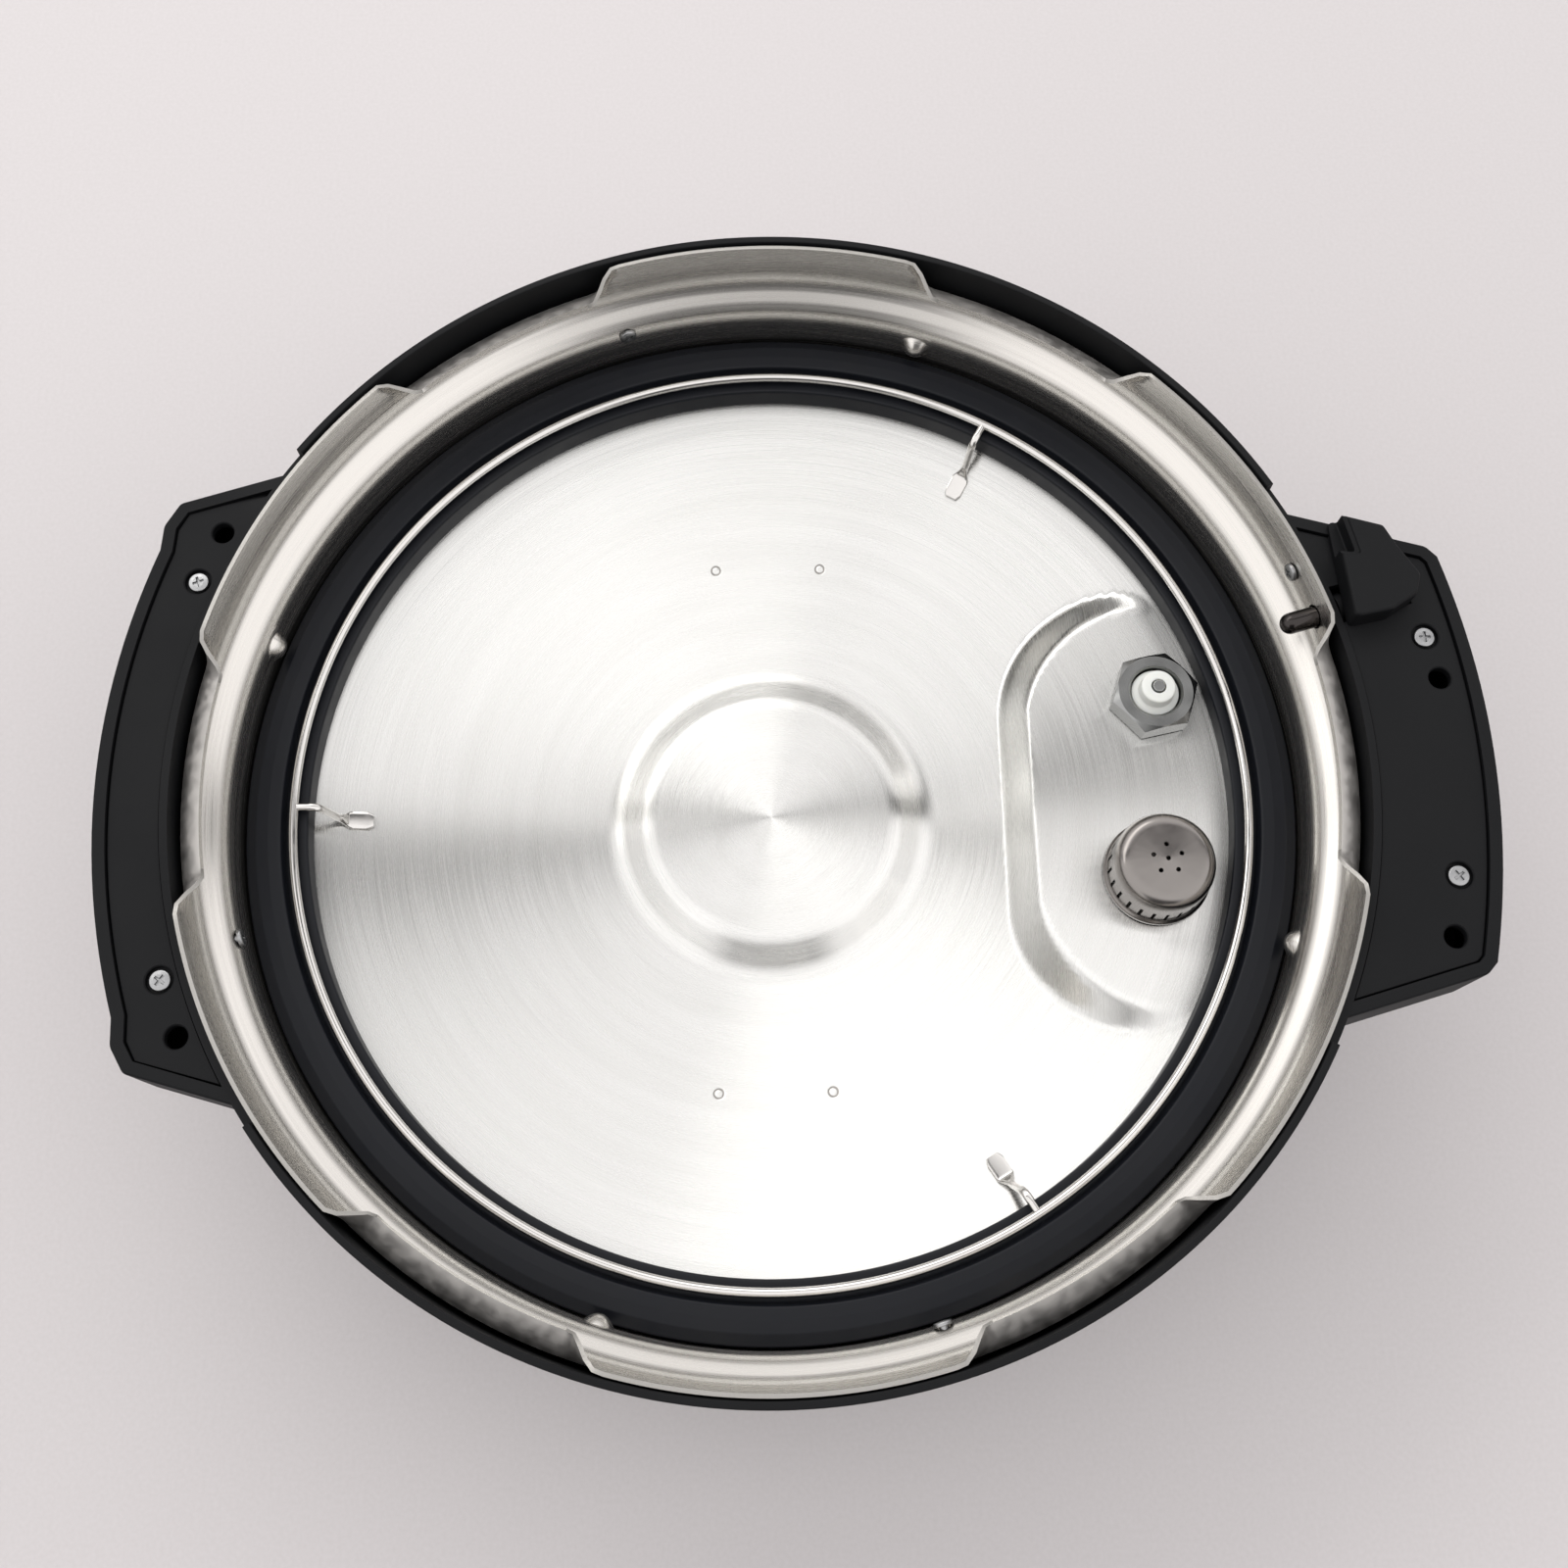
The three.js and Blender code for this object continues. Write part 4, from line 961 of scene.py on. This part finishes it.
@cache
def brushed_stainless():
    """Stainless sheet, brushed on a turntable: fine circles that spread a light into a radial fan."""
    material, tree, shader = new_material("brushed_stainless", {
        "Metallic": 1.0, "Anisotropic": 1.0, "Anisotropic Rotation": 0.25})
    fine = add(tree, "ShaderNodeTexNoise", {
        "Vector": around_axis(tree, 0.45, 50), "Scale": 1.0, "Detail": 5.0, "Roughness": 0.7}).outputs["Fac"]
    broad = add(tree, "ShaderNodeTexNoise", {
        "Vector": around_axis(tree, 5, 70), "Scale": 1.0, "Detail": 3.0}).outputs["Fac"]
    rough = ramp(tree, fine, 0.3, 0.7, 0.22, 0.31)
    tree.links.new(rough, shader.inputs["Roughness"])
    tone = add(tree, "ShaderNodeMix", {
        0: broad, 6: linear("#d8d8d5"), 7: linear("#e4e4e2")}, data_type="RGBA").outputs[2]
    tone = add(tree, "ShaderNodeMix", {
        0: weld_rings(tree), 6: tone, 7: linear("#77736e")}, data_type="RGBA").outputs[2]
    tree.links.new(tone, shader.inputs["Base Color"])
    bump = add(tree, "ShaderNodeBump", {"Height": fine, "Strength": 0.2, "Distance": 0.02 * MM})
    tree.links.new(bump.outputs["Normal"], shader.inputs["Normal"])
    tangent = add(tree, "ShaderNodeTangent", direction_type="RADIAL", axis="Z")
    tree.links.new(tangent.outputs["Tangent"], shader.inputs["Tangent"])
    return material


@cache
def drawn_stainless():
    """The skirt, polished after drawing: bright, with long streaks round it."""
    material, tree, shader = new_material("drawn_stainless", {
        "Metallic": 1.0, "Anisotropic": 0.45, "Anisotropic Rotation": 0.25,
        "Base Color": linear("#d2cfca")})
    fine = add(tree, "ShaderNodeTexNoise", {
        "Vector": around_axis(tree, 0.8, 60), "Scale": 1.0, "Detail": 4.0, "Roughness": 0.65}).outputs["Fac"]
    rough = ramp(tree, fine, 0.3, 0.7, 0.19, 0.32)
    tree.links.new(rough, shader.inputs["Roughness"])
    bump = add(tree, "ShaderNodeBump", {"Height": fine, "Strength": 0.15, "Distance": 0.02 * MM})
    tree.links.new(bump.outputs["Normal"], shader.inputs["Normal"])
    tangent = add(tree, "ShaderNodeTangent", direction_type="RADIAL", axis="Z")
    tree.links.new(tangent.outputs["Tangent"], shader.inputs["Tangent"])
    return material


@cache
def steel(name, colour, rough_low, rough_high, grain):
    """Bare or plated steel with faint wear in its gloss; grain is the size of the wear in mm."""
    material, tree, shader = new_material(name, {"Metallic": 1.0, "Base Color": linear(colour)})
    point = add(tree, "ShaderNodeTexCoord").outputs["Object"]
    wear = add(tree, "ShaderNodeTexNoise", {
        "Vector": point, "Scale": 1 / (grain * MM), "Detail": 4.0}).outputs["Fac"]
    tree.links.new(ramp(tree, wear, 0.35, 0.65, rough_low, rough_high), shader.inputs["Roughness"])
    return material


def dark_chrome():
    """Lock pin, ground and black-chromed: a dark mirror that takes up what is round it."""
    return steel("dark_chrome", "#3d3a39", 0.12, 0.18, 6)


def sheared_edge():
    """Tops of the teeth, sheared and deburred: a pale grey band without clear reflections."""
    return steel("sheared_edge", "#a3a19d", 0.4, 0.55, 0.4)


def mill_finish():
    """The sheet as rolled, left so on its outside: pale and even, with a broad soft shine."""
    return steel("mill_finish", "#d8d5d1", 0.45, 0.6, 3)


def satin_stainless():
    """Strainer cap, deep drawn and tumbled: warm mid grey with soft reflections."""
    return steel("satin_stainless", "#85817e", 0.18, 0.26, 8)


def zinc_plated():
    """Screws, zinc plated: cold pale grey, with a shine that changes from spot to spot."""
    return steel("zinc_plated", "#9fa0a1", 0.28, 0.42, 0.8)


def polished_stainless():
    """Drawn wire, polished: bright, with narrow highlights along it."""
    return steel("polished_stainless", "#cfcdca", 0.11, 0.17, 5)


def machined_stainless():
    """Turned and milled parts: mid grey, with close and fairly clear highlights."""
    return steel("machined_stainless", "#8f908f", 0.2, 0.26, 8)


@cache
def moulded_black():
    """Black ABS, moulded against a fine spark-eroded texture: matt, with a soft broad sheen."""
    material, tree, shader = new_material("moulded_black", {
        "IOR": 1.5, "Specular IOR Level": 0.18})
    point = add(tree, "ShaderNodeTexCoord").outputs["Object"]
    grain = add(tree, "ShaderNodeTexNoise", {
        "Vector": point, "Scale": 1 / (0.5 * MM), "Detail": 3.0}).outputs["Fac"]
    handling = add(tree, "ShaderNodeTexNoise", {
        "Vector": point, "Scale": 1 / (30 * MM), "Detail": 4.0}).outputs["Fac"]
    tree.links.new(ramp(tree, handling, 0.3, 0.7, 0.54, 0.68), shader.inputs["Roughness"])
    tone = add(tree, "ShaderNodeMix", {
        0: handling, 6: linear("#0a0b0d"), 7: linear("#101113")}, data_type="RGBA").outputs[2]
    tree.links.new(tone, shader.inputs["Base Color"])
    bump = add(tree, "ShaderNodeBump", {"Height": grain, "Strength": 0.35, "Distance": 0.05 * MM})
    tree.links.new(bump.outputs["Normal"], shader.inputs["Normal"])
    return material


@cache
def black_silicone():
    """Moulded silicone rubber: deep black with a soft cold sheen and a little dust."""
    material, tree, shader = new_material("black_silicone", {
        "IOR": 1.43, "Specular IOR Level": 0.3})
    point = add(tree, "ShaderNodeTexCoord").outputs["Object"]
    film = add(tree, "ShaderNodeTexNoise", {
        "Vector": point, "Scale": 1 / (14 * MM), "Detail": 5.0, "Roughness": 0.6}).outputs["Fac"]
    tree.links.new(ramp(tree, film, 0.3, 0.7, 0.4, 0.55), shader.inputs["Roughness"])
    tone = add(tree, "ShaderNodeMix", {
        0: film, 6: linear("#090b10"), 7: linear("#10131a")}, data_type="RGBA").outputs[2]
    tree.links.new(tone, shader.inputs["Base Color"])
    return material


@cache
def clear_silicone():
    """Undyed silicone: milky, with light passing into it."""
    material, tree, shader = new_material("clear_silicone", {
        "IOR": 1.41, "Base Color": linear("#dcdeda"), "Subsurface Weight": 0.5,
        "Subsurface Scale": 2 * MM, "Subsurface Radius": (1.0, 0.95, 0.85)})
    point = add(tree, "ShaderNodeTexCoord").outputs["Object"]
    cloud = add(tree, "ShaderNodeTexNoise", {"Vector": point, "Scale": 1 / (3 * MM)}).outputs["Fac"]
    tree.links.new(ramp(tree, cloud, 0.3, 0.7, 0.36, 0.5), shader.inputs["Roughness"])
    return material


def table_top():
    """Pale laminate with a very faint speckle."""
    material, tree, shader = new_material("table_top", {"Roughness": 0.5})
    point = add(tree, "ShaderNodeTexCoord").outputs["Object"]
    speckle = add(tree, "ShaderNodeTexNoise", {
        "Vector": point, "Scale": 1 / (1.2 * MM), "Detail": 2.0}).outputs["Fac"]
    tone = add(tree, "ShaderNodeMix", {
        0: speckle, 6: linear("#bfbbbb"), 7: linear("#c9c5c6")}, data_type="RGBA").outputs[2]
    tree.links.new(tone, shader.inputs["Base Color"])
    return material


# ---------------------------------------------------------------- stage


def stage():
    """Plain table and a soft studio room, whose dark places give the bright steel its contrast."""
    reach = 8.0
    corners = [(-reach, -reach), (reach, -reach), (reach, reach), (-reach, reach)]
    floor = mesh_object("table", [(x, y, FLOOR * MM) for x, y in corners], [(0, 1, 2, 3)])
    paint(floor, table_top())

    world = bpy.data.worlds.new("room")
    bpy.context.scene.world = world
    world.use_nodes = True
    tree = world.node_tree
    tree.nodes["Background"].inputs["Color"].default_value = linear("#eceaea")
    facing = add(tree, "ShaderNodeTexCoord").outputs["Generated"]
    axes = add(tree, "ShaderNodeSeparateXYZ", {"Vector": facing}).outputs
    # Walls brighten upward from the table's level.
    walls = ramp(tree, axes["Z"], 0.06, 0.38, 0.3, 1.75)
    side = maths(tree, "ABSOLUTE", axes["X"])
    # A narrow dark gap between two ceiling panels, which draws the dark fans across the brushed dish.
    gap_middle = 0.345
    off_gap = maths(tree, "ABSOLUTE", maths(tree, "SUBTRACT", axes["Y"], gap_middle))
    gap = maths(tree, "MAXIMUM", ramp(tree, off_gap, 0.04, 0.07, 0.0, 1.0),
                ramp(tree, side, 0.8, 0.95, 0.0, 1.0))
    # Whoever stands in front of the table keeps light from the low front.
    body = maths(tree, "MAXIMUM", ramp(tree, axes["Y"], -0.72, -0.5, 0.12, 1.0),
                 ramp(tree, side, 0.3, 0.5, 0.0, 1.0))
    level = maths(tree, "MULTIPLY", maths(tree, "MULTIPLY", walls, body), gap)
    tree.links.new(level, tree.nodes["Background"].inputs["Strength"])

    area_light("rear_panel", (-0.7, 1.1, 1.4), (-0.1, 0.2, 0.1), (2.0, 0.6), 9, "#fffdfa")
    bpy.context.scene.view_settings.view_transform = "Standard"


def area_light(name, spot, target, size, power, colour):
    data = bpy.data.lights.new(name, "AREA")
    data.shape = "RECTANGLE"
    data.size, data.size_y = size
    data.energy = power
    data.color = linear(colour)[:3]
    lamp = bpy.data.objects.new(name, data)
    lamp.location = spot
    lamp.rotation_euler = (Vector(target) - Vector(spot)).to_track_quat("-Z", "Y").to_euler()
    bpy.context.scene.collection.objects.link(lamp)


def camera():
    """A hand-held view from above and a little in front, tilted 18 degrees from straight down."""
    tilt, turn = math.radians(17.94), math.radians(-1.0)
    height_over_rim = 381.3
    data = bpy.data.cameras.new("camera")
    data.sensor_width = 36
    data.lens = 38.77
    data.clip_start = 0.01
    view = bpy.data.objects.new("camera", data)
    lens_point = Vector(place(1.0, -129.8, height_over_rim)) * MM
    view.matrix_world = (Matrix.Translation(lens_point) @ Matrix.Rotation(turn, 4, "Z")
                         @ Matrix.Rotation(tilt, 4, "X"))
    bpy.context.scene.collection.objects.link(view)
    bpy.context.scene.camera = view


# ---------------------------------------------------------------- assembly

camera()
stage()
pressed_lid()
gasket()
rack()
float_valve()
strainer_cap()
release_knob()
pressure_weight()
outer_cover()
wing_plates()
latch_block()
lock_pin()
handle()
screws()

NODE_MATERIALS = {
    "brushed_steel": machined_stainless,
    "polished_steel": polished_stainless,
    "zinc_steel": zinc_plated,
    "black_plastic": moulded_black,
    "black_silicone": black_silicone,
    "clear_silicone": clear_silicone,
}
for part in frame["record"]["subparts"]:
    node = frame["nodes"][part["node"]]
    paint(node, NODE_MATERIALS[part["material_slot"]]())
